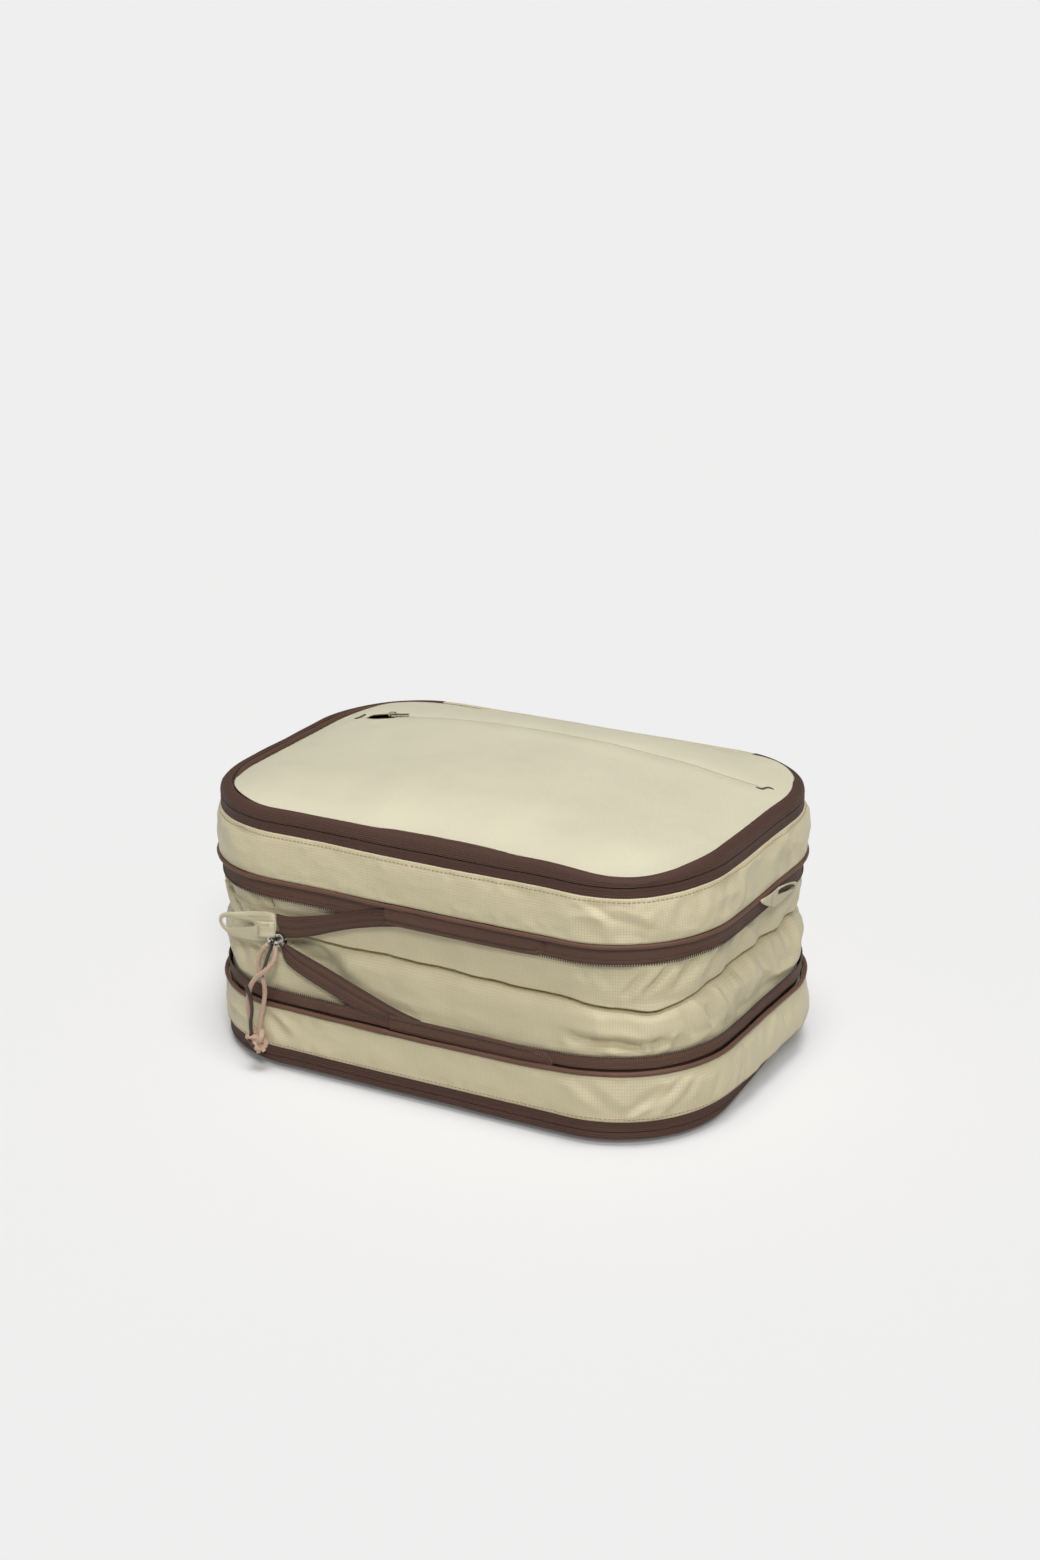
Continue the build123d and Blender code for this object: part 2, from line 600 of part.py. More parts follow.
# points of the strands, measured from the case's front at the zip's start
LEFT_STRAND = [
    (-3.6, -5.9, -2.6),
    (-7.6, -6.0, -6.6),
    (-10.2, -6.2, -11.2),
    (-11.6, -6.4, -16.8),
    (-10.8, -6.6, -22.6),
    (-8.0, -6.7, -28.2),
    (-7.0, -6.7, -35.4),
    (-8.6, -6.7, -43.8),
    (-11.0, -6.7, -52.4),
    (-12.8, -6.8, -60.4),
    (-13.0, -7.0, -65.6),
]
RIGHT_STRAND = [
    (1.8, -5.9, -2.6),
    (3.1, -7.0, -7.4),
    (1.6, -8.6, -13.0),
    (-2.8, -10.6, -18.4),
    (-9.0, -11.3, -23.4),
    (-14.4, -10.6, -29.4),
    (-17.8, -9.4, -36.8),
    (-19.6, -8.4, -45.2),
    (-19.8, -8.0, -53.6),
    (-18.2, -7.8, -61.0),
    (-15.8, -7.8, -65.8),
]
LACE = [
    (-17.7, -12.2, -31.4),
    (-15.4, -12.2, -37.0),
    (-14.3, -11.8, -43.6),
    (-15.0, -11.2, -50.6),
    (-17.2, -11.0, -58.0),
    (-16.6, -10.8, -65.2),
]
KNOT_AT = (-14.0, -8.2, -69.4)
at_start = Pos(ZIP_START_X, -HALF_D, ZIP_START_Z)
save("pull_cord_left", at_start * cord_tube(LEFT_STRAND, CORD_D))
save("pull_cord_right", at_start * cord_tube(RIGHT_STRAND, CORD_D))
save("pull_lace", at_start * cord_tube(LACE, LACE_D))
save("pull_knot", at_start * Pos(*KNOT_AT) * ball(KNOT_R))

# ---- build: lid sliders on the left side, and the pocket slider ----------------------------
for name, z in (("top", TOP_ZIP_Z), ("bottom", BOTTOM_ZIP_Z)):
    side_face = Plane(origin=(-HALF_L, LID_SLIDER_Y, z), x_dir=(0, -1, 0), z_dir=(-1, 0, 0))
    save(f"{name}_slider", side_face * slider(LID_CHANNEL, LID_SLIDER_SIZE))
    pivot_out = LID_CHANNEL[1] + PLATE + BRIDGE_GAP / 2
    reversed_face = Plane(
        origin=(-HALF_L - pivot_out, LID_SLIDER_Y, z), x_dir=(0, 1, 0), z_dir=(-1, 0, 0)
    )
    save(f"{name}_pull", reversed_face * flat_pull(15.0, 4.6, LID_SLIDER_SIZE))
POCKET_CHANNEL = (-POCKET_TAPE_DEPTH - TAPE - 0.2, -POCKET_TAPE_DEPTH + 0.2)
place = pocket_place(POCKET_SLIDER_X)
pocket_body = slider(POCKET_CHANNEL, LID_SLIDER_SIZE, POCKET_BRIDGE_GAP)
save("pocket_slider", place * pocket_body)
PIVOT = POCKET_CHANNEL[1] + PLATE + POCKET_BRIDGE_GAP - 0.9
save("pocket_pull", place * Pos(0, 0, PIVOT) * flat_pull(9.0, 3.6, LID_SLIDER_SIZE))
print("compression travel", round(COMPRESSION, 2), "bail", BAIL)
print("pocket radius", round(crown_radius(POCKET_Y), 2), "centre z",
      round(LID_EDGE_Z + crown_height(POCKET_Y) - crown_radius(POCKET_Y), 2))
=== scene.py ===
"""Looks of the compression packing cube: cloth, zips, edging, tabs, cords and light.

Lengths are millimetres and become metres when a mesh is made. Strips that run round the case are
placed by (s, out, z): s along the plan outline from the middle of the front towards the right,
out away from the outline, and z up."""

import math

import bpy
import numpy as np
from mathutils import Matrix, Vector


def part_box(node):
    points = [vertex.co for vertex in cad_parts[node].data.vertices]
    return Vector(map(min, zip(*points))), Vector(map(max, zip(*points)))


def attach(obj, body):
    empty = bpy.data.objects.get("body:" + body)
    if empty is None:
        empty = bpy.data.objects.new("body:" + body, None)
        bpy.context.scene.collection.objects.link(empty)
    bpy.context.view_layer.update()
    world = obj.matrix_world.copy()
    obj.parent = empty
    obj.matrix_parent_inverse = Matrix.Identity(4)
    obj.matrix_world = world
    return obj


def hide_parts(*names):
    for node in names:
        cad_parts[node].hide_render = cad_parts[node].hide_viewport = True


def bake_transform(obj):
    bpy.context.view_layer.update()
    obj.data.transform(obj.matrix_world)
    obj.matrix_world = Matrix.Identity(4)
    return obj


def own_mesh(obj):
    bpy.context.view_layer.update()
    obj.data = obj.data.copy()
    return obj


MM = 0.001
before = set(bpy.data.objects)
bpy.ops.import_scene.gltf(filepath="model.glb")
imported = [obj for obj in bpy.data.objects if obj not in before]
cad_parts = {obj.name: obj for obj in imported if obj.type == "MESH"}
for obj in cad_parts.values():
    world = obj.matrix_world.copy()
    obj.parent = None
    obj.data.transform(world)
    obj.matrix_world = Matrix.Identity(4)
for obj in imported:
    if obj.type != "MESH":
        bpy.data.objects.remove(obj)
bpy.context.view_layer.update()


def span(node):
    """Lowest and highest corner of a CAD node, in millimetres."""
    low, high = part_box(node)
    return np.array(low) / MM, np.array(high) / MM


# ---- sizes that the frame gives ------------------------------------------------------------
OUTLINE = span("bottom_zip_tape")[1]
HALF_L, HALF_D = OUTLINE[0], -span("bottom_zip_tape")[0][1]
CORNER = 73.0
RUN_X, RUN_Y = HALF_L - CORNER, HALF_D - CORNER
QUARTER = CORNER * math.pi / 2
PERIMETER = 4 * (RUN_X + RUN_Y + QUARTER)
PIPING_R = 1.8
LOWER_CHAIN = span("lower_zip_coil")[1][2]
UPPER_CHAIN = span("upper_zip_coil")[0][2]
LOWER_PIPING = span("lower_piping")[0][2] + PIPING_R
UPPER_PIPING = span("upper_piping")[0][2] + PIPING_R
TOP_ZIP = (span("lid_zip_coil")[0][2] + span("top_zip_coil")[1][2]) / 2
BOTTOM_ZIP = (span("bottom_lid_zip_coil")[1][2] + span("bottom_zip_coil")[0][2]) / 2
WALL_TOP = span("upper_wall")[1][2]
WALL_LOW = span("lower_wall")[0][2]
LID_TOP = span("lid_panel")[1][2]
LID_EDGE = 174.6  # level of the lid's edge
BASE_EDGE = span("bottom_panel")[1][2]
SPINE_HALF = 118.0  # half the length of a lid's cloth hinge, at the back
ZIP_REACH = PERIMETER / 2 - RUN_X - CORNER * math.asin((SPINE_HALF - RUN_X) / CORNER)
START_X = (span("zip_slider")[0][0] + span("zip_slider")[1][0]) / 2
START_Z = 92.0  # level of the compression zip's start
FLARE, BELLY = 3.0, 1.0  # how far a wall leans out to its piping, and swells in its middle
PIPING_OUT = 3.0
LID_TURN, LID_RISE = 7.2, 3.7  # how far a lid's edge turns in, and rises as it does
LID_SAG = 3.6  # drop of the lid's zip and piping where it sags
LID_PIPING_OUT = -9.2
LID_INSET, BASE_INSET = 7.9, 10.3  # outlines of the two lids' panels
CORNER_DIP, DIP_WIDTH = 147.0, 34.0  # where, round the case, the lid sags most, and how widely
LID_EDGE_LIFT = 1.0  # how far the panel's edge bulges over its drawn level
CLOTH, TAPE_THICK = 0.8, 0.6  # thickness that the drawn sheets get
CLOTH_STEP = 1.6  # width of the cloth's mesh cells round the case
CLOTH_FRAMES = 18  # steps of the cloth simulation
HALVES = (("lower", LOWER_CHAIN, LOWER_PIPING), ("upper", UPPER_CHAIN, UPPER_PIPING))
# each lid: name, level of its zip, end of the wall, +1 up or -1 down, its two bodies, prefix of its nodes
LIDS = (
    ("top", TOP_ZIP, WALL_TOP, 1, "upper_case", "top_lid", "lid"),
    ("bottom", BOTTOM_ZIP, WALL_LOW, -1, "lower_case", "bottom_lid", "bottom_lid"),
)


# ---- noise and folds -----------------------------------------------------------------------
def signed(s):
    """Distance round the case from the middle of the front, negative towards the left."""
    return (np.asarray(s) + PERIMETER / 2) % PERIMETER - PERIMETER / 2


def smooth_step(x, low, high):
    t = np.clip((np.asarray(x, float) - low) / (high - low), 0, 1)
    return t * t * (3 - 2 * t)


def band(x, low, full, fade, high):
    """1 from full to fade, falling smoothly to 0 at low and at high."""
    return smooth_step(x, low, full) * (1 - smooth_step(x, fade, high))


def near(s, centre, width):
    """1 at a place round the case, falling to 0 away from it."""
    return np.exp(-((signed(np.asarray(s) - centre) / width) ** 2))


def soft_noise(u, v, cell_u, cell_v, seed):
    """Smooth noise in -1..1 that repeats once round the case."""
    columns, rows = max(4, round(PERIMETER / cell_u)), 48
    grid = np.random.default_rng(seed).uniform(-1, 1, (columns, rows))
    a, b = np.asarray(u) / PERIMETER * columns, np.asarray(v) / cell_v
    i, j = np.floor(a).astype(int), np.floor(b).astype(int)
    fa, fb = a - i, b - j
    fa, fb = fa * fa * (3 - 2 * fa), fb * fb * (3 - 2 * fb)
    below, above = (grid[i % columns, row % rows] * (1 - fa) + grid[(i + 1) % columns, row % rows] * fa
                    for row in (j, j + 1))
    return below * (1 - fb) + above * fb


def creased(s, z, cell_s, cell_z, seed):
    """Noise of bent ridges with flatter facets between them, as on crumpled nylon."""
    s2 = s + 0.45 * cell_s * soft_noise(s, z, cell_s * 1.7, cell_z * 1.7, seed + 5)
    z2 = z + 0.45 * cell_z * soft_noise(s, z, cell_s * 1.5, cell_z * 1.5, seed + 6)
    return 1 - 2.6 * np.sqrt(soft_noise(s2, z2, cell_s, cell_z, seed) ** 2 + 0.004)


def fold_field(s, z, folds):
    """Height of ridges and hollows, each (s0, z0, s1, z1, width, height), thin at both ends."""
    total = np.zeros(np.broadcast(s, z).shape)
    for s0, z0, s1, z1, width, height in folds:
        ds, dz = s1 - s0, z1 - z0
        away = signed(s - s0)
        t = np.clip((away * ds + (z - z0) * dz) / (ds * ds + dz * dz), 0, 1)
        off = np.hypot(away - t * ds, z - z0 - t * dz) / width
        ends = np.sqrt(np.clip(np.sin(math.pi * (0.12 + 0.76 * t)), 0, 1))
        total = total + height * np.exp(-(off**2)) * ends
    return total


def scattered_folds(seed, count, s_range, z_range, length, width, height, slant=0.45):
    """Random folds, mostly upright, inside a patch of the case's side."""
    rng = np.random.default_rng(seed)
    folds = []
    for _ in range(count):
        s = rng.uniform(*s_range)
        z = rng.uniform(*z_range)
        reach = rng.uniform(0.6, 1.0) * length
        lean = rng.uniform(-slant, slant)
        sign = 1 if rng.random() < 0.6 else -1
        ends = (s - lean * reach / 2, z - reach / 2, s + lean * reach / 2, z + reach / 2)
        folds.append((*ends, width * rng.uniform(0.7, 1.3), sign * height * rng.uniform(0.5, 1.0)))
    return folds


# ---- places round the case -----------------------------------------------------------------
def outline(s):
    """Point of the plan outline at s and the outward normal there."""
    s = np.asarray(s, float) % PERIMETER
    marks = np.cumsum([0, RUN_X, QUARTER, 2 * RUN_Y, QUARTER, 2 * RUN_X, QUARTER, 2 * RUN_Y, QUARTER, RUN_X])
    centres = [(RUN_X, -RUN_Y), (RUN_X, RUN_Y), (-RUN_X, RUN_Y), (-RUN_X, -RUN_Y)]
    x, y, nx, ny = (np.zeros_like(s) for _ in range(4))
    for k in range(9):
        here = (s >= marks[k]) & (s <= marks[k + 1])
        d = s[here] - marks[k]
        if k % 2:
            turn = (k - 1) / 2 * math.pi / 2 + d / CORNER - math.pi / 2
            cx, cy = centres[(k - 1) // 2]
            nx[here], ny[here] = np.cos(turn), np.sin(turn)
            x[here], y[here] = cx + CORNER * np.cos(turn), cy + CORNER * np.sin(turn)
        else:
            side = (k // 2) * math.pi / 2 - math.pi / 2
            nx[here], ny[here] = math.cos(side), math.sin(side)
            from_mid = d if k == 0 else d - (RUN_Y if k in (2, 6) else RUN_X)
            x[here] = math.cos(side) * HALF_L - math.sin(side) * from_mid
            y[here] = math.sin(side) * HALF_D + math.cos(side) * from_mid
    return x, y, nx, ny


def foot_lift(s):
    """The base's edge rises off the floor along the right side, towards the rear."""
    return 12.0 * band(signed(s), 186, 330, 350, 470)


def settle(s, z):
    """How sewn cloth strays from its drawn place: outwards and upwards, less near the zip's start."""
    d = signed(s)
    loose = (1 - 0.85 * near(s, START_X, 26)) * smooth_step(z, 3, 30) * (1 - 0.7 * smooth_step(z, 166, 175))
    out = 0.7 * soft_noise(s, z, 75, 60, 1) + 0.25 * soft_noise(s, z, 24, 40, 2)
    up = 0.7 * soft_noise(s, z * 0.3, 90, 60, 3) + 0.25 * soft_noise(s, z * 0.3, 30, 60, 4)
    left_foot = 2.2 * near(s, -158, 44) * band(z, 2, 8, 14, 30)
    hang = 3.2 * band(d, 190, 250, 350, 430) * band(z, 6, 20, 24, 46)
    seam_rise = 3.0 * band(d, 70, 130, 340, 440) * band(z, 28, 44, 58, 78)
    droop = 2.0 * near(s, CORNER_DIP, DIP_WIDTH) * smooth_step(z, 148, 168)
    base_rise = foot_lift(s) * (1 - smooth_step(z, 3, 23))
    return out * loose + left_foot + hang, up * loose - droop + seam_rise + base_rise


def place(s, out, z):
    """Coordinates, in millimetres, of a place given round the case."""
    s, out, z = np.broadcast_arrays(*(np.asarray(v, float) for v in (s, out, z)))
    x, y, nx, ny = outline(s)
    stray_out, stray_z = settle(s, z)
    return np.stack([x + nx * (out + stray_out), y + ny * (out + stray_out), z + stray_z], -1)


# ---- lines of points -----------------------------------------------------------------------
def along(line):
    """Distance of each point of a line from its start."""
    return np.concatenate([[0], np.cumsum(np.linalg.norm(np.diff(line, axis=0), axis=1))])


def sample(line, at, far):
    """Places on a line, far being the measure of its points and at the measures wanted."""
    return np.stack([np.interp(at, far, line[:, k]) for k in range(line.shape[1])], -1)


def by_share(line, shares):
    """Places at shares of the way along a line whose points are evenly spaced."""
    return sample(line, shares, np.linspace(0, 1, len(line)))


def resample(line, step):
    """A line at equal steps, and the distances of its new points."""
    far = along(line)
    at = np.linspace(0, far[-1], max(2, round(far[-1] / step) + 1))
    return sample(line, at, far), at


def cut_corners(line, times, closed=False):
    """Softens a line's corners; a closed line has its first point again at its end."""
    for _ in range(times):
        a, b = line[:-1], line[1:]
        cut = np.stack([a * 0.75 + b * 0.25, a * 0.25 + b * 0.75], 1).reshape(-1, line.shape[1])
        line = np.concatenate([cut, cut[:1]] if closed else [line[:1], cut, line[-1:]])
    return line


def spread(points, step):
    """A line through points, resampled at equal steps with its corners softened."""
    return resample(cut_corners(np.asarray(points, float), 3), step)[0]


def turns(count):
    """Angles of a ring's points."""
    return np.arange(count) * 2 * math.pi / count


# ---- meshes --------------------------------------------------------------------------------
def quads(columns, rows, wrap_u, wrap_v):
    """Faces of a grid of points, and the column and row of each face's corners."""
    across, up = columns - (not wrap_u), rows - (not wrap_v)
    i, j = (a.ravel() for a in np.meshgrid(np.arange(across), np.arange(up), indexing="ij"))
    i2, j2 = (i + 1) % columns, (j + 1) % rows
    faces = np.stack([i * rows + j, i2 * rows + j, i2 * rows + j2, i * rows + j2], -1)
    corners = np.stack([i, j, i + 1, j, i + 1, j + 1, i, j + 1], -1).reshape(-1, 4, 2)
    return faces, corners


def build(name, points, faces, uv, material, body, replaced=(), thick=None, smooth=True):
    """Mesh object from points in millimetres, with a UV map in metres, riding on a body."""
    mesh = bpy.data.meshes.new(name)
    faces = faces.tolist() if hasattr(faces, "tolist") else faces
    mesh.from_pydata((np.asarray(points) * MM).tolist(), [], faces)
    mesh.polygons.foreach_set("use_smooth", [smooth] * len(mesh.polygons))
    if uv is not None:
        layer = mesh.uv_layers.new(name="UVMap")
        layer.data.foreach_set("uv", (np.asarray(uv, float).reshape(-1, 2) * MM).ravel())
    mesh.materials.append(material)
    obj = bpy.data.objects.new(name, mesh)
    bpy.context.scene.collection.objects.link(obj)
    if body:
        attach(obj, body)
    if replaced:
        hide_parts(*replaced)
    if thick:
        thicken(obj, thick)
    return obj


def surface(name, grid, u, v, material, body, wrap_u=False, wrap_v=False, **rest):
    """Surface through a grid of points; u and v are the cloth's own lengths along it."""
    columns, rows = grid.shape[:2]
    faces, corners = quads(columns, rows, wrap_u, wrap_v)
    u, v = (np.append(a, 2 * a[-1] - a[-2]) for a in (u, v))
    uv = np.stack([u[corners[..., 0]], v[corners[..., 1]]], -1)
    return build(name, grid.reshape(-1, 3), faces, uv, material, body, **rest)


def thicken(obj, thickness):
    """Gives a sheet its thickness, inwards from its outer face."""
    solid = obj.modifiers.new("thickness", "SOLIDIFY")
    solid.thickness = thickness * MM
    solid.offset = -1.0
    apply_modifiers(obj)


def apply_modifiers(obj):
    bpy.context.view_layer.update()
    evaluated = obj.evaluated_get(bpy.context.evaluated_depsgraph_get())
    mesh = bpy.data.meshes.new_from_object(evaluated)
    obj.modifiers.clear()
    obj.data = mesh


def relax(obj, columns, rows, held_rows, slack, weights, bending):
    """Lets a sewn strip buckle between the rows that its seams hold, by cloth simulation."""
    held = obj.vertex_groups.new(name="held")
    held.add([i * rows + j for i in range(columns) for j in held_rows], 1.0, "REPLACE")
    loose = obj.vertex_groups.new(name="loose")
    for i, weight in enumerate(weights):
        loose.add(list(range(i * rows, (i + 1) * rows)), float(weight), "REPLACE")
    cloth = obj.modifiers.new("cloth", "CLOTH")
    settings = cloth.settings
    settings.quality = 4
    settings.mass = 0.02
    settings.tension_stiffness = settings.compression_stiffness = 12
    settings.shear_stiffness = 4
    settings.bending_stiffness = bending
    settings.air_damping = 3
    settings.vertex_group_mass = "held"
    settings.vertex_group_shrink = "loose"
    settings.shrink_min, settings.shrink_max = 0.0, -slack
    settings.effector_weights.gravity = 0
    cloth.collision_settings.use_collision = False
    cloth.collision_settings.use_self_collision = False
    cloth.point_cache.frame_start, cloth.point_cache.frame_end = 1, CLOTH_FRAMES
    for frame_number in range(1, CLOTH_FRAMES + 1):
        bpy.context.scene.frame_set(frame_number)
    apply_modifiers(obj)
    bpy.context.scene.frame_set(1)
    obj.vertex_groups.clear()


def keep_within(obj, s, rows, farthest):
    """Holds a strip's cloth back where it would come farther out than farthest(s, z)."""
    points = np.empty(len(obj.data.vertices) * 3)
    obj.data.vertices.foreach_get("co", points)
    points = points.reshape(len(s), rows, 3) / MM
    x, y, nx, ny = (value[:, None] for value in outline(s))
    out = (points[..., 0] - x) * nx + (points[..., 1] - y) * ny
    most = farthest(s[:, None], points[..., 2])
    held = most - np.log1p(np.exp(np.clip(2.5 * (most - out), -40, 40))) / 2.5
    shift = np.where(out > most - 1.2, np.minimum(held - out, 0), 0)
    points[..., 0] += nx * shift
    points[..., 1] += ny * shift
    obj.data.vertices.foreach_set("co", (points * MM).ravel())
    obj.data.update()


def cut_cloth(area=None):
    """Turns the size a sheet of cloth was cut to from square millimetres into square metres; the result is
    not kept.
    """
    area = None if area is None else area * MM**2


def cut_panel(inset):
    """Area of a flat sheet with the case's rounded outline, drawn in by an inset, handed to cut_cloth, which
    does not keep it.
    """
    area = 4 * (HALF_L - inset) * (HALF_D - inset) - (4 - math.pi) * (CORNER - inset) ** 2
    cut_cloth(area)


def columns_round(step, reach=None):
    """Values of s at equal steps, round the whole case or within reach of the front's middle."""
    if reach is None:
        return np.arange(0, PERIMETER, PERIMETER / round(PERIMETER / step))
    return np.linspace(-reach, reach, round(2 * reach / step) + 1)


def strip(name, section, material, body, step=1.5, reach=None, around=None, field=None, closed=False, **rest):
    """Cloth strip round the case, or part of the way, through a section of (out, z) rows."""
    section = np.asarray(section, float)
    s = columns_round(step, reach) if around is None else around
    grid_s = np.repeat(s[:, None], len(section), 1)
    out, z = (np.repeat(section[None, :, k], len(s), 0) for k in (0, 1))
    if field is not None:
        out, z = field(grid_s, out, z)
    wrap = reach is None and around is None
    return surface(name, place(grid_s, out, z), s, along(section), material, body,
                   wrap_u=wrap, wrap_v=closed, **rest)


def tube_section(out, z, radius):
    """Round section of a piping."""
    angles = turns(12)
    return np.stack([out + radius * np.cos(angles), z + radius * np.sin(angles)], -1)


def joined(name, parts, material, body, **rest):
    """One mesh out of many (points, faces) pieces."""
    points, faces, start = [], [], 0
    for part_points, part_faces in parts:
        points.append(part_points)
        faces += [tuple(int(k) + start for k in face) for face in part_faces]
        start += len(part_points)
    return build(name, np.concatenate(points), faces, None, material, body, **rest)


def capsule(start, end, radius, sides=6, bulge=1.0):
    """Short rounded thread or tooth between two points."""
    start, end = np.asarray(start, float), np.asarray(end, float)
    axis = (end - start) / np.linalg.norm(end - start)
    side = np.cross(axis, (0, 0, 1) if abs(axis[2]) < 0.9 else (1, 0, 0))
    side /= np.linalg.norm(side)
    other = np.cross(axis, side)
    angles = turns(sides)[:, None]
    circle = np.cos(angles) * side + np.sin(angles) * other
    rings = [
        start + circle * radius * 0.6,
        start + axis * radius * 0.7 + circle * radius,
        (start + end) / 2 + circle * radius * bulge,
        end - axis * radius * 0.7 + circle * radius,
        end + circle * radius * 0.6,
    ]
    faces = []
    for low in range(0, 4 * sides, sides):
        for k in range(sides):
            k2 = (k + 1) % sides
            faces.append((low + k, low + k2, low + sides + k2, low + sides + k))
    faces += [tuple(range(sides - 1, -1, -1)), tuple(range(4 * sides, 5 * sides))]
    return np.concatenate(rings), faces


def stitches(name, line, material, body, pitch=2.9, length=2.0, radius=0.22, **rest):
    """Row of stitches along a line of points, in millimetres."""
    line = np.asarray(line)
    far = along(line)
    starts = np.arange(int(far[-1] // pitch)) * pitch + 0.3
    ends = zip(sample(line, starts, far), sample(line, starts + length, far))
    return joined(name, [capsule(a, b, radius, sides=5) for a, b in ends], material, body, **rest)


# ---- materials -----------------------------------------------------------------------------
def linear(*display):
    """Colour from 0..255 display values."""
    shares = [c / 255 for c in display]
    return tuple(((c + 0.055) / 1.055) ** 2.4 if c > 0.04045 else c / 12.92 for c in shares) + (1.0,)


class Look:
    """A material and short calls that wire its nodes."""

    def __init__(self, name, colour, roughness, **sockets):
        self.material = bpy.data.materials.new(name)
        self.material.use_nodes = True
        self.nodes = self.material.node_tree.nodes
        self.links = self.material.node_tree.links
        self.shader = self.nodes["Principled BSDF"]
        self.colour = linear(*colour)
        self.roughness = roughness
        self.shader.inputs["Base Color"].default_value = self.colour
        self.shader.inputs["Roughness"].default_value = roughness
        for socket, value in sockets.items():
            self.shader.inputs[socket.replace("_", " ")].default_value = value

    def node(self, kind, inputs=None, **settings):
        """New node; each input takes another node's output or a constant."""
        node = self.nodes.new(f"ShaderNode{kind}")
        for key, value in settings.items():
            setattr(node, key, value)
        for key, value in (inputs or {}).items():
            if hasattr(value, "is_output"):
                self.links.new(value, node.inputs[key])
            else:
                node.inputs[key].default_value = value
        return node

    def math(self, operation, a, b=0.0):
        return self.node("Math", {0: a, 1: b}, operation=operation).outputs[0]

    def ramp(self, factor, low, high, top=1.0, **settings):
        """From low to high as the factor goes from 0 to top."""
        return self.node("MapRange", {0: factor, 1: 0.0, 2: top, 3: low, 4: high}, **settings).outputs[0]

    def cloth_axes(self):
        """The cloth's own two lengths, in metres."""
        split = self.node("SeparateXYZ", {0: self.node("UVMap").outputs[0]})
        return split.outputs[0], split.outputs[1]

    def lines(self, axis, pitch, share=0.45):
        """1 on thin lines at every pitch along an axis, 0 between them."""
        wave = self.math("PINGPONG", axis, pitch * MM / 2)
        return self.ramp(wave, 1.0, 0.0, pitch * share * MM / 2, interpolation_type="SMOOTHSTEP")

    def ribs(self, axis, pitch):
        """Rounded ribs at every pitch, from 0 to 1."""
        turned = self.math("MULTIPLY", axis, 2 * math.pi / (pitch * MM))
        return self.math("MULTIPLY_ADD", self.math("SINE", turned), 0.5)

    def noise(self, size, detail=3.0):
        place = self.node("TexCoord").outputs["Object"]
        return self.node("TexNoise", {"Vector": place, "Scale": 1 / (size * MM), "Detail": detail}).outputs[0]

    def tone(self, *layers):
        """Base colour times greys, each (factor, dark, light)."""
        base = self.colour
        for factor, dark, light in layers:
            inputs = {0: 1.0, 6: base, 7: self.ramp(factor, dark, light)}
            base = self.node("Mix", inputs, data_type="RGBA", blend_type="MULTIPLY").outputs[2]
        self.links.new(base, self.shader.inputs["Base Color"])

    def rough(self, factor, less, more):
        value = self.ramp(factor, max(self.roughness - less, 0.02), min(self.roughness + more, 1.0))
        self.links.new(value, self.shader.inputs["Roughness"])

    def bump(self, *layers):
        """Heights in millimetres, each (factor, height), one on another."""
        normal = None
        for factor, height in layers:
            node = self.node("Bump", {"Height": factor, "Distance": height * MM, "Strength": 1.0})
            if normal:
                self.links.new(normal, node.inputs["Normal"])
            normal = node.outputs[0]
        self.links.new(normal, self.shader.inputs["Normal"])


def ripstop(name, colour, pitch, line_depth, weave, roughness, crease=0.25):
    """Coated nylon with a grid of thicker threads and a fine plain weave."""
    look = Look(name, colour, roughness, Sheen_Weight=0.12, Sheen_Roughness=0.4)
    u, v = look.cloth_axes()
    grid = look.math("MAXIMUM", look.lines(u, pitch), look.lines(v, pitch))
    fine = look.math("MULTIPLY", look.ribs(u, weave), look.ribs(v, weave))
    patches = look.noise(28.0)
    look.tone((patches, 0.955, 1.045), (look.noise(1.3, 2.0), 0.97, 1.03), (grid, 1.0, 1.0 - line_depth))
    look.rough(patches, 0.05, 0.07)
    look.bump((look.noise(9.0, 4.0), crease), (grid, 0.08), (fine, 0.03))
    return look.material


def tape_cloth(name, colour, rib):
    """Woven tape with ribs along it and the slanted twill between them."""
    look = Look(name, colour, 0.62, Sheen_Weight=0.06, Sheen_Roughness=0.5, Specular_IOR_Level=0.3)
    u, v = look.cloth_axes()
    ribs = look.ribs(v, rib)
    twill = look.ribs(look.math("ADD", u, v), 0.9)
    fibres = look.noise(0.8)
    worn = look.noise(14.0, 2.0)
    look.tone((ribs, 0.8, 1.12), (twill, 0.93, 1.06), (fibres, 0.9, 1.1), (worn, 0.93, 1.07))
    look.rough(fibres, 0.08, 0.08)
    look.bump((ribs, 0.16), (twill, 0.05), (fibres, 0.03))
    return look.material


def plain(name, colour, roughness, grain, depth, contrast=0.08, **sockets):
    """Material with fine grain in its colour, roughness and surface."""
    look = Look(name, colour, roughness, **sockets)
    fine, wide = look.noise(grain, 4.0), look.noise(grain * 9, 2.0)
    look.tone((fine, 1 - contrast, 1 + contrast), (wide, 1 - contrast / 2, 1 + contrast / 2))
    look.rough(fine, 0.07, 0.07)
    look.bump((fine, depth))
    return look.material


def piping_cloth(name, colour):
    """Folded edging cloth with fine cross threads, rubbed lighter in places."""
    look = Look(name, colour, 0.58, Sheen_Weight=0.08, Sheen_Roughness=0.45, Specular_IOR_Level=0.35)
    threads = look.ribs(look.cloth_axes()[0], 0.8)
    fibres, rubbed = look.noise(1.1), look.noise(17.0)
    look.tone((rubbed, 0.84, 1.16), (fibres, 0.88, 1.12), (threads, 0.94, 1.05))
    look.bump((rubbed, 0.2), (fibres, 0.06), (threads, 0.04))
    return look.material


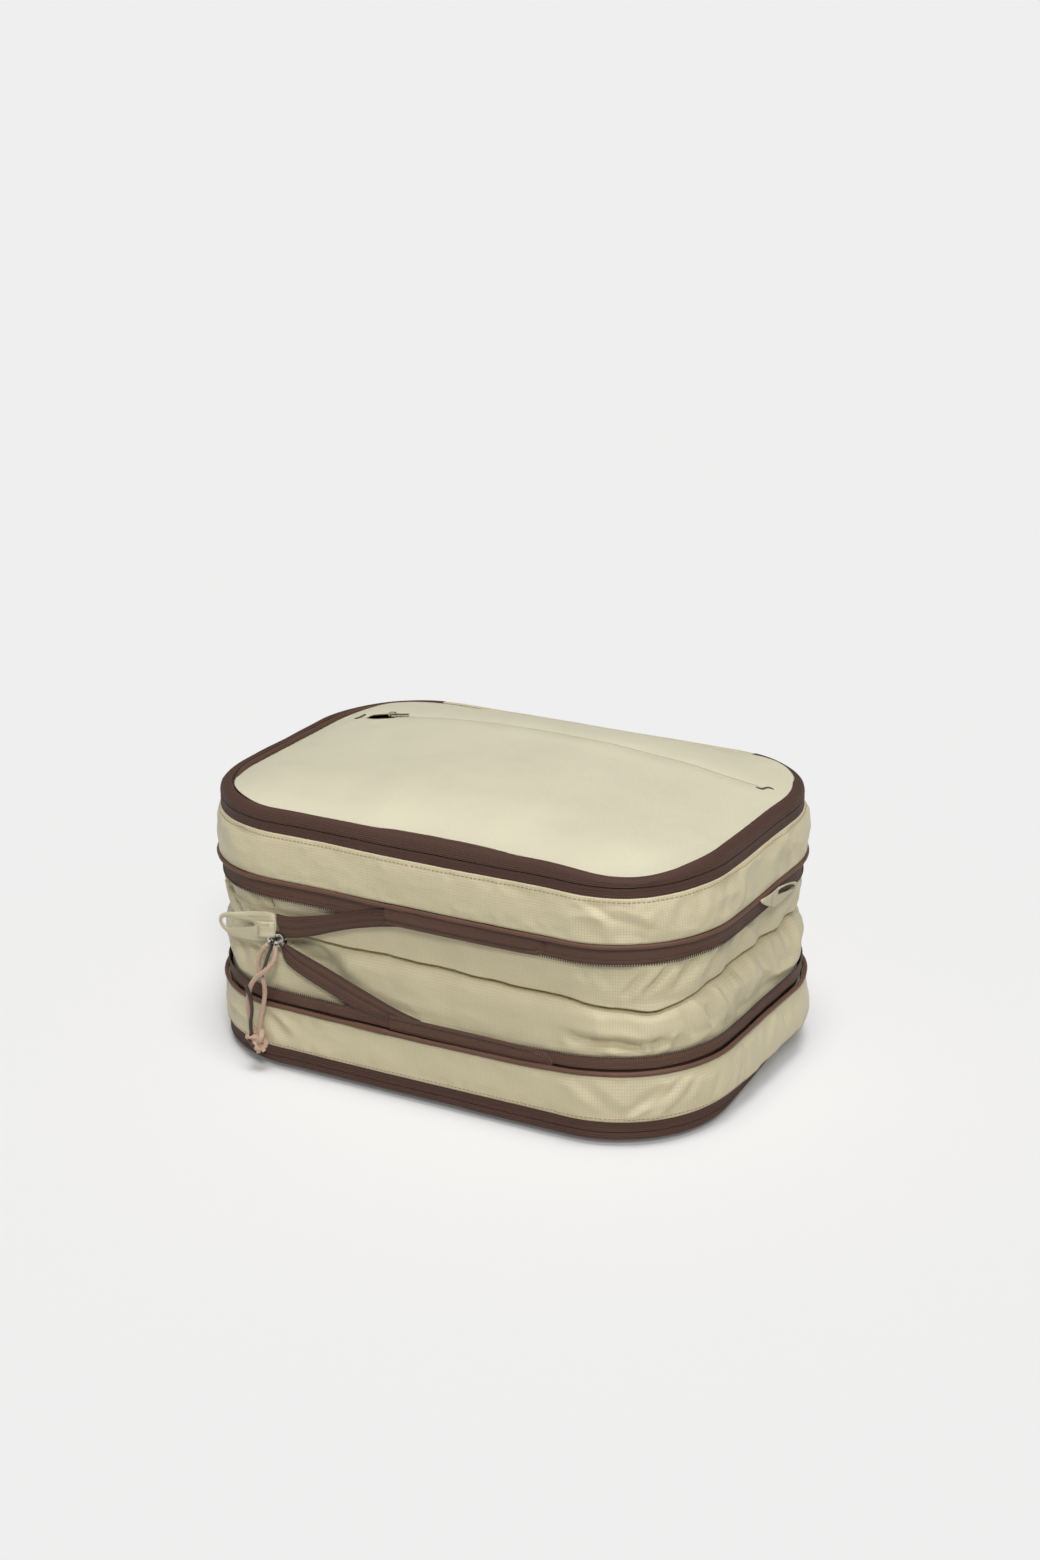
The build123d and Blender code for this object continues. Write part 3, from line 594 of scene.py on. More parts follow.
SHELL = ripstop("ripstop_shell", (214, 204, 170), 1.7, 0.13, 0.45, 0.42)
LID_CLOTH = ripstop("lid_weave", (221, 215, 189), 1.25, 0.03, 0.62, 0.52, 0.15)
LINING = plain("inner_lining", (186, 181, 164), 0.6, 0.7, 0.03, 0.05, Sheen_Weight=0.15)
TAPE = tape_cloth("zip_tape_weave", (82, 57, 47), 1.35)
TAPE_FLAT = tape_cloth("zip_tape_flat", (100, 73, 60), 0.95)
PIPING = piping_cloth("piping_cloth", (102, 73, 58))
DARK_PIPING = piping_cloth("lid_piping_cloth", (88, 62, 49))
ARM_TAPE = tape_cloth("zip_tape_arm", (90, 65, 53), 0.95)
COIL = plain("coil_nylon", (62, 44, 36), 0.35, 0.6, 0.02, 0.15, Coat_Weight=0.2)
# lighter copy of the coil nylon: painted sheen for the teeth turned into the seam at the tails
COIL_PAINTED_SHEEN = plain("coil_painted_sheen", (128, 104, 88), 0.25, 0.6, 0.02, 0.15, Coat_Weight=0.4)
WEBBING = ripstop("tab_cloth", (212, 203, 172), 0.9, 0.05, 0.5, 0.5, 0.2)
THREAD = plain("sewing_thread", (172, 146, 112), 0.6, 0.5, 0.03, 0.12, Sheen_Weight=0.2)
DARK_THREAD = plain("bartack_thread", (84, 60, 48), 0.55, 0.4, 0.03, 0.15, Sheen_Weight=0.2)
METAL = plain("slider_nickel", (214, 212, 208), 0.2, 0.9, 0.006, 0.03, Metallic=1.0)
GUNMETAL = plain("pull_gunmetal", (92, 88, 86), 0.26, 0.9, 0.006, 0.06, Metallic=1.0)
CORD = plain("cord_braid", (190, 160, 138), 0.7, 0.5, 0.05, 0.14, Sheen_Weight=0.3)
LACE_LOOK = plain("dark_lace", (62, 48, 44), 0.42, 0.7, 0.04, 0.14, Coat_Weight=0.1)


# ---- camera --------------------------------------------------------------------------------
AZIMUTH, ELEVATION, ROLL = 30.0, 20.18, math.radians(-1.03)
TARGET = Vector((6.88, 0.0, 176.4)) * MM
CAMERA_DISTANCE = 1703.4 * MM
LENS, SENSOR = 62.25, 36
BACKGROUND = linear(240, 240, 240)
ROOM_LIGHT = 0.12
FLOOR_SIZE = 30000.0
FLOOR_BOUNCE, FLOOR_SEEN = (0.74, 0.73, 0.71, 1), (0.84, 0.84, 0.845, 1)
FLOOR_LIFT = 0.12  # share of the floor's brightness that shadows don't take away


def direction(azimuth, elevation):
    """Unit vector; azimuth 0 comes from the front, 90 from the right."""
    a, e = math.radians(azimuth), math.radians(elevation)
    return Vector((math.sin(a) * math.cos(e), -math.cos(a) * math.cos(e), math.sin(e)))


def place_camera():
    """Camera at the photograph's angle: to the right of the front, a little above the case."""
    back, right = direction(AZIMUTH, ELEVATION), direction(AZIMUTH + 90, 0)
    up = back.cross(right)
    rolled_right = right * math.cos(ROLL) + up * math.sin(ROLL)
    rolled_up = up * math.cos(ROLL) - right * math.sin(ROLL)
    data = bpy.data.cameras.new("camera")
    data.lens, data.sensor_width, data.clip_end = LENS, SENSOR, 100
    camera = bpy.data.objects.new("camera", data)
    turn = Matrix((rolled_right, rolled_up, back)).transposed().to_4x4()
    camera.matrix_world = Matrix.Translation(TARGET + back * CAMERA_DISTANCE) @ turn
    bpy.context.scene.collection.objects.link(camera)
    bpy.context.scene.camera = camera


# ---- light and floor -----------------------------------------------------------------------
def sun(name, azimuth, elevation, strength, softness, colour=(1, 1, 1)):
    """Even light from one side."""
    data = bpy.data.lights.new(name, "SUN")
    data.energy, data.angle, data.color = strength, math.radians(softness), colour
    lamp = bpy.data.objects.new(name, data)
    lamp.rotation_euler = direction(azimuth, elevation).to_track_quat("Z", "Y").to_euler()
    bpy.context.scene.collection.objects.link(lamp)


def light_studio():
    """Two soft suns near the camera's side, and a dim room that the camera sees as the backdrop."""
    scene = bpy.context.scene
    scene.view_settings.view_transform = "Standard"
    world = scene.world or bpy.data.worlds.new("world")
    scene.world = world
    world.use_nodes = True
    nodes, links = world.node_tree.nodes, world.node_tree.links
    nodes.clear()
    kinds = ("Background", "Background", "LightPath", "MixShader", "OutputWorld")
    room, seen, path, mix, output = (nodes.new(f"ShaderNode{kind}") for kind in kinds)
    room.inputs["Color"].default_value = (1.0, 0.995, 0.985, 1)
    room.inputs["Strength"].default_value = ROOM_LIGHT
    seen.inputs["Color"].default_value = BACKGROUND
    links.new(path.outputs["Is Camera Ray"], mix.inputs[0])
    links.new(room.outputs[0], mix.inputs[1])
    links.new(seen.outputs[0], mix.inputs[2])
    links.new(mix.outputs[0], output.inputs[0])
    sun("overhead_softbox", 40, 78, 1.96, 28)
    sun("front_softbox", 36, 43, 1.38, 16, (1.0, 0.985, 0.965))


def lay_floor():
    """Wide pale floor that takes the contact shadow."""
    corners = [(x * FLOOR_SIZE, y * FLOOR_SIZE, 0) for x, y in ((-1, -1), (1, -1), (1, 1), (-1, 1))]
    look = Look("pale_floor", (240, 240, 240), 0.95, Specular_IOR_Level=0.0)
    camera_ray = look.node("LightPath").outputs["Is Camera Ray"]
    colour = look.node("Mix", {0: camera_ray, 6: FLOOR_BOUNCE, 7: FLOOR_SEEN}, data_type="RGBA").outputs[2]
    look.links.new(colour, look.shader.inputs["Base Color"])
    lit = look.node("Emission", {"Color": BACKGROUND}).outputs[0]
    share = look.math("MULTIPLY", camera_ray, FLOOR_LIFT)
    both = look.node("MixShader", {0: share, 1: look.shader.outputs[0], 2: lit})
    look.links.new(both.outputs[0], look.nodes["Material Output"].inputs["Surface"])
    build("floor", corners, [(0, 1, 2, 3)], None, look.material, None, smooth=False)


place_camera()
light_studio()
lay_floor()


# ---- cords of the pull ---------------------------------------------------------------------
FRONT_START = np.array([START_X, -HALF_D, START_Z])
LEFT_STRAND = [
    (-3.6, -5.9, -2.6), (-7.6, -6.0, -6.6), (-10.2, -6.2, -11.2), (-11.6, -6.4, -16.8),
    (-10.8, -6.6, -22.6), (-8.0, -6.7, -28.2), (-7.0, -6.7, -35.4), (-8.6, -6.7, -43.8),
    (-11.0, -6.7, -52.4), (-12.8, -6.8, -60.4), (-13.0, -7.0, -65.6),
]
RIGHT_STRAND = [
    (1.8, -5.9, -2.6), (3.1, -7.0, -7.4), (1.6, -8.6, -13.0), (-2.8, -10.6, -18.4),
    (-9.0, -11.3, -23.4), (-14.4, -10.6, -29.4), (-17.8, -9.4, -36.8), (-19.6, -8.4, -45.2),
    (-19.8, -8.0, -53.6), (-18.2, -7.8, -61.0), (-15.8, -7.8, -65.8),
]
LACE = [
    (-17.7, -12.2, -31.4), (-15.4, -12.2, -37.0), (-14.3, -11.8, -43.6), (-15.0, -11.2, -50.6),
    (-17.2, -11.0, -58.0), (-16.6, -10.8, -65.2),
]
KNOT_AT = np.array((-14.0, -8.2, -69.4))
CORD_D, LACE_D = 3.0, 2.4


def route(name, points):
    """The smooth line of a cord, read from a NURBS spline through its control points."""
    curve = bpy.data.curves.new(name, "CURVE")
    curve.dimensions = "3D"
    spline = curve.splines.new("NURBS")
    spline.points.add(len(points) - 1)
    for point, target in zip(spline.points, points):
        point.co = (*((FRONT_START + target) * MM), 1)
    spline.order_u = 3
    spline.use_endpoint_u = True
    spline.resolution_u = 12
    holder = bpy.data.objects.new(name, curve)
    bpy.context.scene.collection.objects.link(holder)
    bpy.context.view_layer.update()
    mesh = bpy.data.meshes.new_from_object(holder.evaluated_get(bpy.context.evaluated_depsgraph_get()))
    line = np.array([v.co for v in mesh.vertices]) / MM
    bpy.data.objects.remove(holder)
    return line


def frames_along(line):
    """Two sides at each point of a line, turning as little as possible."""
    tangent = np.gradient(line, axis=0)
    tangent /= np.linalg.norm(tangent, axis=1)[:, None]
    side = np.cross(tangent[0], (0, 1, 0))
    sides = []
    for t in tangent:
        side = side - t * (side @ t)
        side = side / np.linalg.norm(side)
        sides.append(side)
    return np.array(sides), np.cross(tangent, sides)


def tube(name, line, radius, material, body, sides=12, relief=None, **rest):
    """Round cord along a line; relief(angle, distance) adds to its radius."""
    line, at = resample(line, 0.25)
    side, other = frames_along(line)
    angles = turns(sides)[None, :]
    size = np.full((len(line), sides), radius)
    if relief is not None:
        size = size + relief(angles, at[:, None])
    ring = np.cos(angles)[..., None] * side[:, None] + np.sin(angles)[..., None] * other[:, None]
    grid = line[:, None] + ring * size[..., None]
    tips = [line[None, None, k].repeat(sides, 1) for k in (0, -1)]
    grid = np.concatenate([tips[0], grid, tips[1]])
    u = np.concatenate([[0], at, [at[-1]]])
    v = np.arange(sides) * 2 * math.pi * radius / sides
    return surface(name, grid[:, ::-1], u, v, material, body, wrap_v=True, **rest)


def braid(pitch, height):
    """Two sets of strands that cross each other, as on a braided cord."""

    def relief(angle, far):
        one, two = (np.sin(3 * angle + way * 2 * math.pi * far / pitch) for way in (1, -1))
        return height * (np.maximum(one, two) - 0.6)

    return relief


def knot_line():
    """Overhand knot of the doubled cord, wound round itself as a loose ball."""
    t = np.linspace(0, 2 * math.pi, 200)
    x = np.sin(t) + 1.5 * np.sin(2 * t)
    y = np.cos(t) - 1.5 * np.cos(2 * t)
    z = -np.sin(3 * t) * 1.15
    turn = 0.5
    x, y = x * math.cos(turn) - y * math.sin(turn), x * math.sin(turn) + y * math.cos(turn)
    return np.stack([x * 2.7, z * 2.0, y * 2.4], -1)


def make_pull_cords():
    """The pull's two strands of cord, its lace, and the knot that ends them."""
    body = "compression_pull"
    pieces = []
    for name, points, width, material, node in (
        ("cord_left", LEFT_STRAND, CORD_D, CORD, "pull_cord_left"),
        ("cord_right", RIGHT_STRAND, CORD_D, CORD, "pull_cord_right"),
        ("lace_strand", LACE, LACE_D, LACE_LOOK, "pull_lace"),
    ):
        line = route(name, points)
        relief = braid(3.0, 0.16) if material is CORD else None
        cord = tube(name, line, width / 2, material, body, sides=16, relief=relief, replaced=[node])
        pieces.append(cord)
    centre = FRONT_START + KNOT_AT
    relief = braid(3.0, 0.14)
    pieces.append(tube("cord_knot", knot_line() + centre, CORD_D / 2 + 0.45, CORD, body, sides=14,
                       relief=relief, replaced=["pull_knot"]))
    for k, (dx, dy, dz) in enumerate(((1.6, -2.0, -8.6), (5.4, -0.8, -7.0))):
        points = np.array([(0, 0, -1.0), (dx * 0.5, dy * 0.5, dz * 0.55), (dx, dy, dz)]) + centre
        end = tube(f"cord_end_{k + 1}", spread(points, 0.5), CORD_D / 2 * 0.95, CORD, body, relief=relief)
        pieces.append(end)
    points = np.array([(-2.6, -2.6, 4.2), (-4.6, -2.9, 1.0), (-3.0, -3.4, -2.6), (0.4, -3.8, -3.6)]) + centre
    pieces.append(tube("lace_wrap", spread(points, 0.5), LACE_D / 2 * 0.9, LACE_LOOK, body))
    for piece in pieces:
        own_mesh(piece)


make_pull_cords()


# ---- walls ---------------------------------------------------------------------------------
SEAM_GAP = 2.0  # a wall turns in this far from the middle of its piping
WALL_LIMIT = 6.2  # farthest that a wall may bulge out of the plan


def wall_out(t, low=False):
    """How far a wall stands out, from its lid seam at t 0 to its compression seam at t 1."""
    t = np.asarray(t, float)
    skew = t**0.62 if low else t
    return 0.5 + (FLARE - 0.35) * t + (BELLY + 0.9 * low) * 4 * skew * (1 - skew)


def wall_rows(lid_seam, low_seam):
    """Section of a wall that turns in over its piping and leaves a dark seam between them."""
    up = math.copysign(1, lid_seam - low_seam)
    t = np.linspace(0, 1, round(abs(lid_seam - low_seam)) + 1)[:-1]
    rows = [(float(wall_out(v, up < 0)), lid_seam + (low_seam + up * SEAM_GAP - lid_seam) * v) for v in t]
    rows += [(out, low_seam + up * (SEAM_GAP - d)) for out, d in ((2.9, 0.1), (2.3, 0.5), (0.9, 0.6))]
    return np.array(rows if up < 0 else rows[::-1])


UPPER_FOLDS = [
    (112, 158, 126, 150, 2.6, 0.5), (118, 160, 134, 149, 2.8, -0.9), (134, 149, 156, 143, 2.6, -0.8),
    (136, 156, 152, 150, 2.0, 0.5), (160, 158, 152, 146, 3.5, 0.9), (176, 160, 170, 144, 3.5, -0.9),
    (196, 160, 188, 142, 4.0, 0.9), (214, 160, 206, 140, 4.0, -0.9), (234, 160, 226, 140, 4.0, 0.9),
    (256, 160, 250, 142, 4.5, -0.6), (-170, 158, -150, 144, 5.0, -0.8), (-196, 160, -186, 142, 4.0, 0.8),
    (-96, 158, -76, 146, 8.0, -0.5), (-40, 156, -20, 140, 9.0, -0.5), (30, 158, 44, 140, 9.0, -0.45),
    (80, 158, 96, 142, 8.0, -0.5),
]
LOWER_FOLDS = [
    (104, 40, 122, 27, 4.0, 1.0), (114, 40, 130, 28, 4.0, -1.2), (138, 24, 160, 36, 3.0, -1.8),
    (142, 20, 166, 32, 2.6, 1.3), (150, 22, 172, 40, 2.6, -1.5), (158, 20, 178, 40, 2.4, 1.2),
    (168, 22, 184, 40, 2.6, -1.2), (186, 42, 178, 24, 4.0, 0.8), (204, 42, 196, 22, 4.0, -0.8),
    (226, 42, 216, 22, 4.5, 0.8), (250, 42, 242, 22, 4.5, -0.7), (276, 42, 268, 22, 5.0, 0.6),
    (-170, 42, -150, 26, 5.0, -0.9), (-200, 42, -186, 24, 4.5, 0.8), (-113, 40, -97, 28, 4.0, -2.2),
    (-106, 42, -90, 31, 3.2, 0.9), (-84, 40, -58, 26, 9.0, -0.5), (-20, 40, 6, 26, 9.0, -0.5),
    (50, 40, 78, 26, 9.0, -0.5),
]


def restless(s):
    """How restless the cloth is round the case: calm on the flat front, fuller at corners and sides."""
    return 0.16 + 0.84 * smooth_step(np.abs(signed(s)), 84, 140)


def wall_field(folds, seed, low, high):
    """Folds, dents and the small puckers along a wall's two seams."""
    extra = scattered_folds(seed, 40, (216, PERIMETER - 216), (low + 8, high - 8), 17, 3.6, 1.3)

    def field(s, out, z):
        push = 1.25 * fold_field(s, z, folds) + fold_field(s, z, extra)
        push = push + restless(s) * creased(s, z, 24, 18, seed + 1) + 0.7 * soft_noise(s, z, 42, 17, seed + 4)
        push = push + 0.12 * creased(s, z, 8, 8, seed + 2)
        to_seam = np.minimum(np.abs(z - low), np.abs(z - high))
        pucker = 0.5 * soft_noise(s, z * 0, 5.5, 10, seed + 3) * np.exp(-(((to_seam - 4.4) / 3.0) ** 2))
        return out + np.clip(push * band(z, low, low + 6, high - 6, high), -3.4, 2.0) + pucker, z

    return field


def stitched_wall(name, folds, seed, lid_seam, low_seam):
    """Wall with its row of topstitching beside the lid's zip."""
    body = f"{name}_case"
    down = math.copysign(1, low_seam - lid_seam)
    low, high = sorted((lid_seam, low_seam - down * SEAM_GAP))
    field = wall_field(folds, seed, low, high)
    rows = wall_rows(lid_seam, low_seam)
    wall = strip(f"{name}_wall_cloth", rows, SHELL, body, step=CLOTH_STEP, field=field,
                 replaced=[f"{name}_wall"])
    s, count = columns_round(CLOTH_STEP), len(rows)
    held = [0, 1, 2, 3, 4, count - 2, count - 1]
    if down > 0:
        held = [count - 1 - k for k in held]
    relax(wall, len(s), count, held, slack=0.022, weights=restless(s) - 0.1, bending=0.12)
    keep_within(wall, s, count, lambda s, z: WALL_LIMIT)
    thicken(wall, CLOTH)
    cut_cloth()
    s = np.append(columns_round(0.7), PERIMETER)
    out = np.full(len(s), wall_out(2.5 / abs(low_seam - lid_seam), down > 0))
    out, z = field(s, out, np.full(len(s), lid_seam + down * 2.5))
    stitches(f"{name}_topstitch", place(s, out + 0.12, z), THREAD, body, radius=0.3)


stitched_wall("upper", UPPER_FOLDS, 11, WALL_TOP, UPPER_PIPING)
stitched_wall("lower", LOWER_FOLDS, 21, WALL_LOW, LOWER_PIPING)


# ---- folded gusset -------------------------------------------------------------------------
GUSSET_OUT = -0.4
GUSSET_LOW, GUSSET_HIGH = LOWER_PIPING + PIPING_R, UPPER_PIPING - PIPING_R
HEM = 93.6  # where the upper cloth turns under
GUSSET_FOLDS = [
    # above the crease, near the right front corner and along the right side
    (152, 113, 141, 100, 2.6, -1.1), (160, 114, 147, 100, 2.6, 1.0), (168, 115, 153, 101, 2.6, -1.1),
    (178, 116, 160, 101, 2.8, 0.9), (190, 116, 172, 102, 3.0, -1.0), (204, 116, 186, 102, 3.2, 0.9),
    (220, 116, 204, 102, 3.4, -1.0), (238, 116, 224, 102, 3.6, 0.9), (256, 116, 244, 102, 3.8, -0.8),
    (112, 116, 118, 106, 3.0, -0.6), (126, 116, 130, 107, 3.0, -0.6), (60, 113, 84, 105, 6.0, -0.5),
    # below the crease
    (106, 67, 138, 65, 3.4, -1.3), (136, 66, 150, 60, 2.6, -1.4), (100, 76, 138, 74, 4.6, 0.4),
    (108, 67, 168, 64, 4.6, -1.3), (138, 74, 155, 68, 3.0, 0.4), (158, 58, 160, 68, 2.2, -1.0),
    (166, 58, 170, 70, 2.4, 0.8), (178, 84, 184, 66, 2.4, -0.7), (186, 88, 200, 66, 2.0, 0.6),
    (196, 80, 202, 66, 2.2, -0.8), (208, 90, 219, 70, 1.8, 0.7), (214, 84, 222, 66, 2.4, -0.7),
    (229, 91, 232, 72, 2.2, 0.5), (238, 88, 250, 66, 2.0, -0.8), (256, 92, 258, 76, 2.6, 0.5),
    (266, 86, 275, 66, 2.2, -0.7), (284, 90, 288, 72, 2.6, 0.5), (300, 92, 308, 70, 2.6, -0.6),
    # round the start of the zip
    (-99, 88, -64, 83, 6.5, -3.6), (-90, 82, -60, 75, 6.0, -1.0), (-132, 84, -112, 74, 3.0, -1.0),
    (-124, 76, -104, 68, 3.0, 0.8), (-150, 88, -140, 66, 3.4, 1.0), (-160, 114, -143, 98, 3.4, -1.5),
    (-172, 86, -164, 66, 3.6, -1.2), (-186, 114, -176, 98, 3.6, 0.9), (-112, 118, -104, 112, 2.4, -0.7),
    (-130, 116, -120, 108, 2.6, 0.7), (-92, 86, -70, 80, 4.0, -0.8),
]
GUSSET_EXTRA = scattered_folds(35, 34, (290, PERIMETER - 130), (68, 84), 20, 3.6, 1.8)
GUSSET_EXTRA += scattered_folds(36, 30, (290, PERIMETER - 130), (101, 114), 16, 3.2, 1.6)


def gusset_rows():
    """Section of the bellows: leaning in above the hem, tucked under it, rounded over below."""
    low = np.arange(GUSSET_LOW, 82.5, 1.0)
    rows = [(GUSSET_OUT - 2.4 * math.exp(-(z - GUSSET_LOW) / 9) - 0.07 * (z - GUSSET_LOW), z) for z in low]
    edge = rows[-1][0]
    over = np.linspace(0, math.pi / 2, 14)[1:]
    rows += [(edge - 5.8 * (1 - math.cos(a)), 82.6 + 9.1 * math.sin(a)) for a in over]
    rows += [(edge - 7.6, 91.9), (edge - 9.6, 92.4), (edge - 7.6, 93.2)]
    under = np.linspace(0, math.pi / 2, 8)
    rows += [(edge - 6.0 + 5.4 * math.sin(a), HEM + 1.9 * (1 - math.cos(a)) ** 2) for a in under]
    foot = rows[-1][0]
    for z in np.arange(HEM + 2.8, GUSSET_HIGH, 1.0):
        lean = (GUSSET_OUT - foot) * (z - HEM) / (GUSSET_HIGH - HEM)
        rows.append((foot + lean - 2.1 * math.exp(-(GUSSET_HIGH - z) / 8), z))
    return np.array(rows + [(GUSSET_OUT - 2.3, GUSSET_HIGH)])


def clear_of_arms(s):
    """1 where nothing lies over the bellows, 0 behind the zip's free ends."""
    d = signed(s)
    return smooth_step(d, 5, 75) + smooth_step(-d, 124, 152)


def gusset_field(s, out, z):
    """Sways the hem round the case, then folds the cloth and fills it where nothing holds it."""
    depth = np.clip((GUSSET_OUT - 3.6 - out) / 7.5, 0, 1)
    kept = 0.12 + 0.88 * (1 - near(s, START_X - 34, 44))
    deep = GUSSET_OUT + (out - GUSSET_OUT) * np.where(np.abs(z - HEM) < 14, kept, 1)
    sway = 0.9 * soft_noise(s, z * 0, 46, 10, 31) + 0.5 * soft_noise(s, z * 0, 13, 10, 32)
    sway = sway - 3.9 * near(s, 142, 32) - 4.0 * near(s, 165, 24) + 1.5 * near(s, 320, 30)
    z = z + sway * np.exp(-(((z - HEM) / 11) ** 2))
    full, clear = restless(s), clear_of_arms(s)
    push = (1.5 + 1.3 * full) * fold_field(s, z, GUSSET_FOLDS) + 1.2 * fold_field(s, z, GUSSET_EXTRA)
    push = push + 1.7 * full * creased(s, z, 20, 26, 33) + 0.9 * soft_noise(s, z, 60, 14, 37)
    push = push + 0.6 * soft_noise(s, z, 17, 46, 38) + 0.15 * creased(s, z, 8, 8, 34) - 1.1
    push = np.clip(push - 1.6 * band(s % PERIMETER, 150, 215, 270, 310), -6.5, 0.45 + 0.8 * full * clear)
    push = push * band(z, GUSSET_LOW + 6, GUSSET_LOW + 13, GUSSET_HIGH - 13, GUSSET_HIGH - 6)
    low = np.clip((z - GUSSET_LOW) / (HEM - 1 - GUSSET_LOW), 0, 1)
    high = np.clip((z - HEM) / (GUSSET_HIGH - HEM), 0, 1)
    belly = np.where(z < HEM, (1.4 + 2.4 * full) * np.sin(math.pi * low**1.7), 1.4 * np.sin(math.pi * high))
    return deep + (push + belly * clear) * (1 - 0.75 * depth), z


def gusset_limit(s, z):
    """Farthest that the gusset may bulge: flat behind the tapes and the zip's free ends."""
    low = smooth_step(z, LOWER_CHAIN - 1, LOWER_CHAIN + 7)
    high = smooth_step(z, UPPER_CHAIN - 7, UPPER_CHAIN + 1)
    return 0.3 + 4.0 * np.minimum(low, 1 - high) * clear_of_arms(s)


def make_gusset():
    rows, s = gusset_rows(), columns_round(CLOTH_STEP)
    gusset = strip("gusset_cloth", rows, SHELL, "lower_case", step=CLOTH_STEP, field=gusset_field,
                   replaced=["gusset"])
    count = len(rows)
    deep = [k for k, (out, z) in enumerate(rows) if out < GUSSET_OUT - 5.6 or abs(z - HEM - 1.2) < 1.4]
    held = [0, 1, 2, *deep, count - 3, count - 2, count - 1]
    relax(gusset, len(s), count, held, slack=0.075, weights=restless(s) - 0.08, bending=0.035)
    keep_within(gusset, s, count, gusset_limit)
    thicken(gusset, CLOTH)
    cut_cloth()
    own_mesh(gusset)


make_gusset()


# ---- zip tapes, coils and piping -----------------------------------------------------------
def coil_teeth(name, start, end, out, z, up, body, height, radius, pitch, **rest):
    """Row of moulded coil teeth on a zip's edge, each across the tape."""
    at = start + (np.arange(int((end - start) // pitch)) + 0.5) * pitch
    heads, feet = place(at, out, z), place(at, out, z + up * height)
    parts = [capsule(head, foot, radius, bulge=0.9) for head, foot in zip(heads, feet)]
    return joined(name, parts, COIL, body, **rest)


def compression_ring(name, chain, seam):
    """Half of the open compression zip: woven tape behind the piping, with its teeth free."""
    body = f"{name}_case"
    up = math.copysign(1, seam - chain)
    rows = np.linspace(chain + up * 1.3, seam - up * 2.3, 22)
    section = [(0.75 + 0.06 * math.cos(k * 2.4), z) for k, z in enumerate(rows)]
    section += [(0.2, seam - up * 1.9), (-0.5, seam - up * 1.3), (-0.5, seam + up * 1.9)]
    if up < 0:
        section = section[::-1]

    def field(s, out, z):
        return out + 0.22 * soft_noise(s, z, 12, 9, 41), z + 0.25 * soft_noise(s, z * 0, 16, 10, 42)

    strip(f"{name}_tape", section, TAPE_FLAT, body, field=field, replaced=[f"{name}_zip_tape"],
          thick=TAPE_THICK)
    coil_teeth(f"{name}_teeth", 0, PERIMETER, 0.8, chain, up, body, height=2.0, radius=0.42, pitch=1.55,
               replaced=[f"{name}_zip_coil"])
    line = place(columns_round(1.0), 0.98, chain + up * 4.2)
    stitches(f"{name}_tape_stitch", line, DARK_THREAD, body, pitch=2.6, length=1.8, radius=0.16)


def piping_ring(name, seam, join, seed):
    """Corded edging, thicker where its ends overlap just before the join."""

    def field(s, out, z):
        before = (join - s) % PERIMETER
        overlap = 0.22 * smooth_step(-before, -26, -22) * (before < 26)
        swell = 1 + 0.06 * soft_noise(s, z * 0, 9, 10, seed) + overlap
        stray = 0.22 * soft_noise(s, z * 0, 26, 10, seed + 1)
        return PIPING_OUT + (out - PIPING_OUT) * swell, seam + (z - seam) * swell + stray

    strip(f"{name}_edge_piping", tube_section(PIPING_OUT, seam, 1.45), PIPING, f"{name}_case", closed=True,
          field=field, replaced=[f"{name}_piping"])


for half in HALVES:
    compression_ring(*half)
piping_ring("lower", LOWER_PIPING, -20.0, 51)
piping_ring("upper", UPPER_PIPING, PERIMETER / 2, 53)


def ribbed(points, count, depth, waves):
    """Resamples a section and lays ribs along it, outwards."""
    far = along(points)
    at = np.linspace(0, far[-1], count)
    line = sample(np.asarray(points, float), at, far)
    step = np.gradient(line, axis=0)
    step /= np.hypot(*step.T)[:, None]
    outwards = np.stack([step[:, 1], -step[:, 0]], -1)
    height = depth * np.cos(2 * math.pi * waves * at / far[-1])
    return line + outwards * height[:, None]


def turned_edge(level, up, points):
    """Quarter turn in over a lid's edge."""
    angles = np.linspace(0, math.pi / 2, points)
    return [(-LID_TURN * (1 - math.cos(a)), level + up * LID_RISE * math.sin(a)) for a in angles]


def lid_section(zip_z, up):
    """Lid half of a lid zip: upright from the teeth, then turned in over the edge."""
    foot = zip_z + up * 0.35
    arc = turned_edge(zip_z + up * 3.2, up, 12)
    inner = [(-LID_TURN - d, arc[-1][1] - up * fall) for d, fall in ((0.7, 1.6), (1.2, 3.2), (6.0, 3.6))]
    section = [(0.12, foot), (0.2, foot + up * 1.3), *arc, *inner]
    return section if up > 0 else section[::-1]


def case_section(zip_z, wall_z, up):
    """Case half of a lid zip, from the teeth to the wall's seam."""
    section = [(0.12, zip_z + up * 0.35), (0.2, zip_z + up * 1.6), (0.15, wall_z)]
    return section if up > 0 else section[::-1]


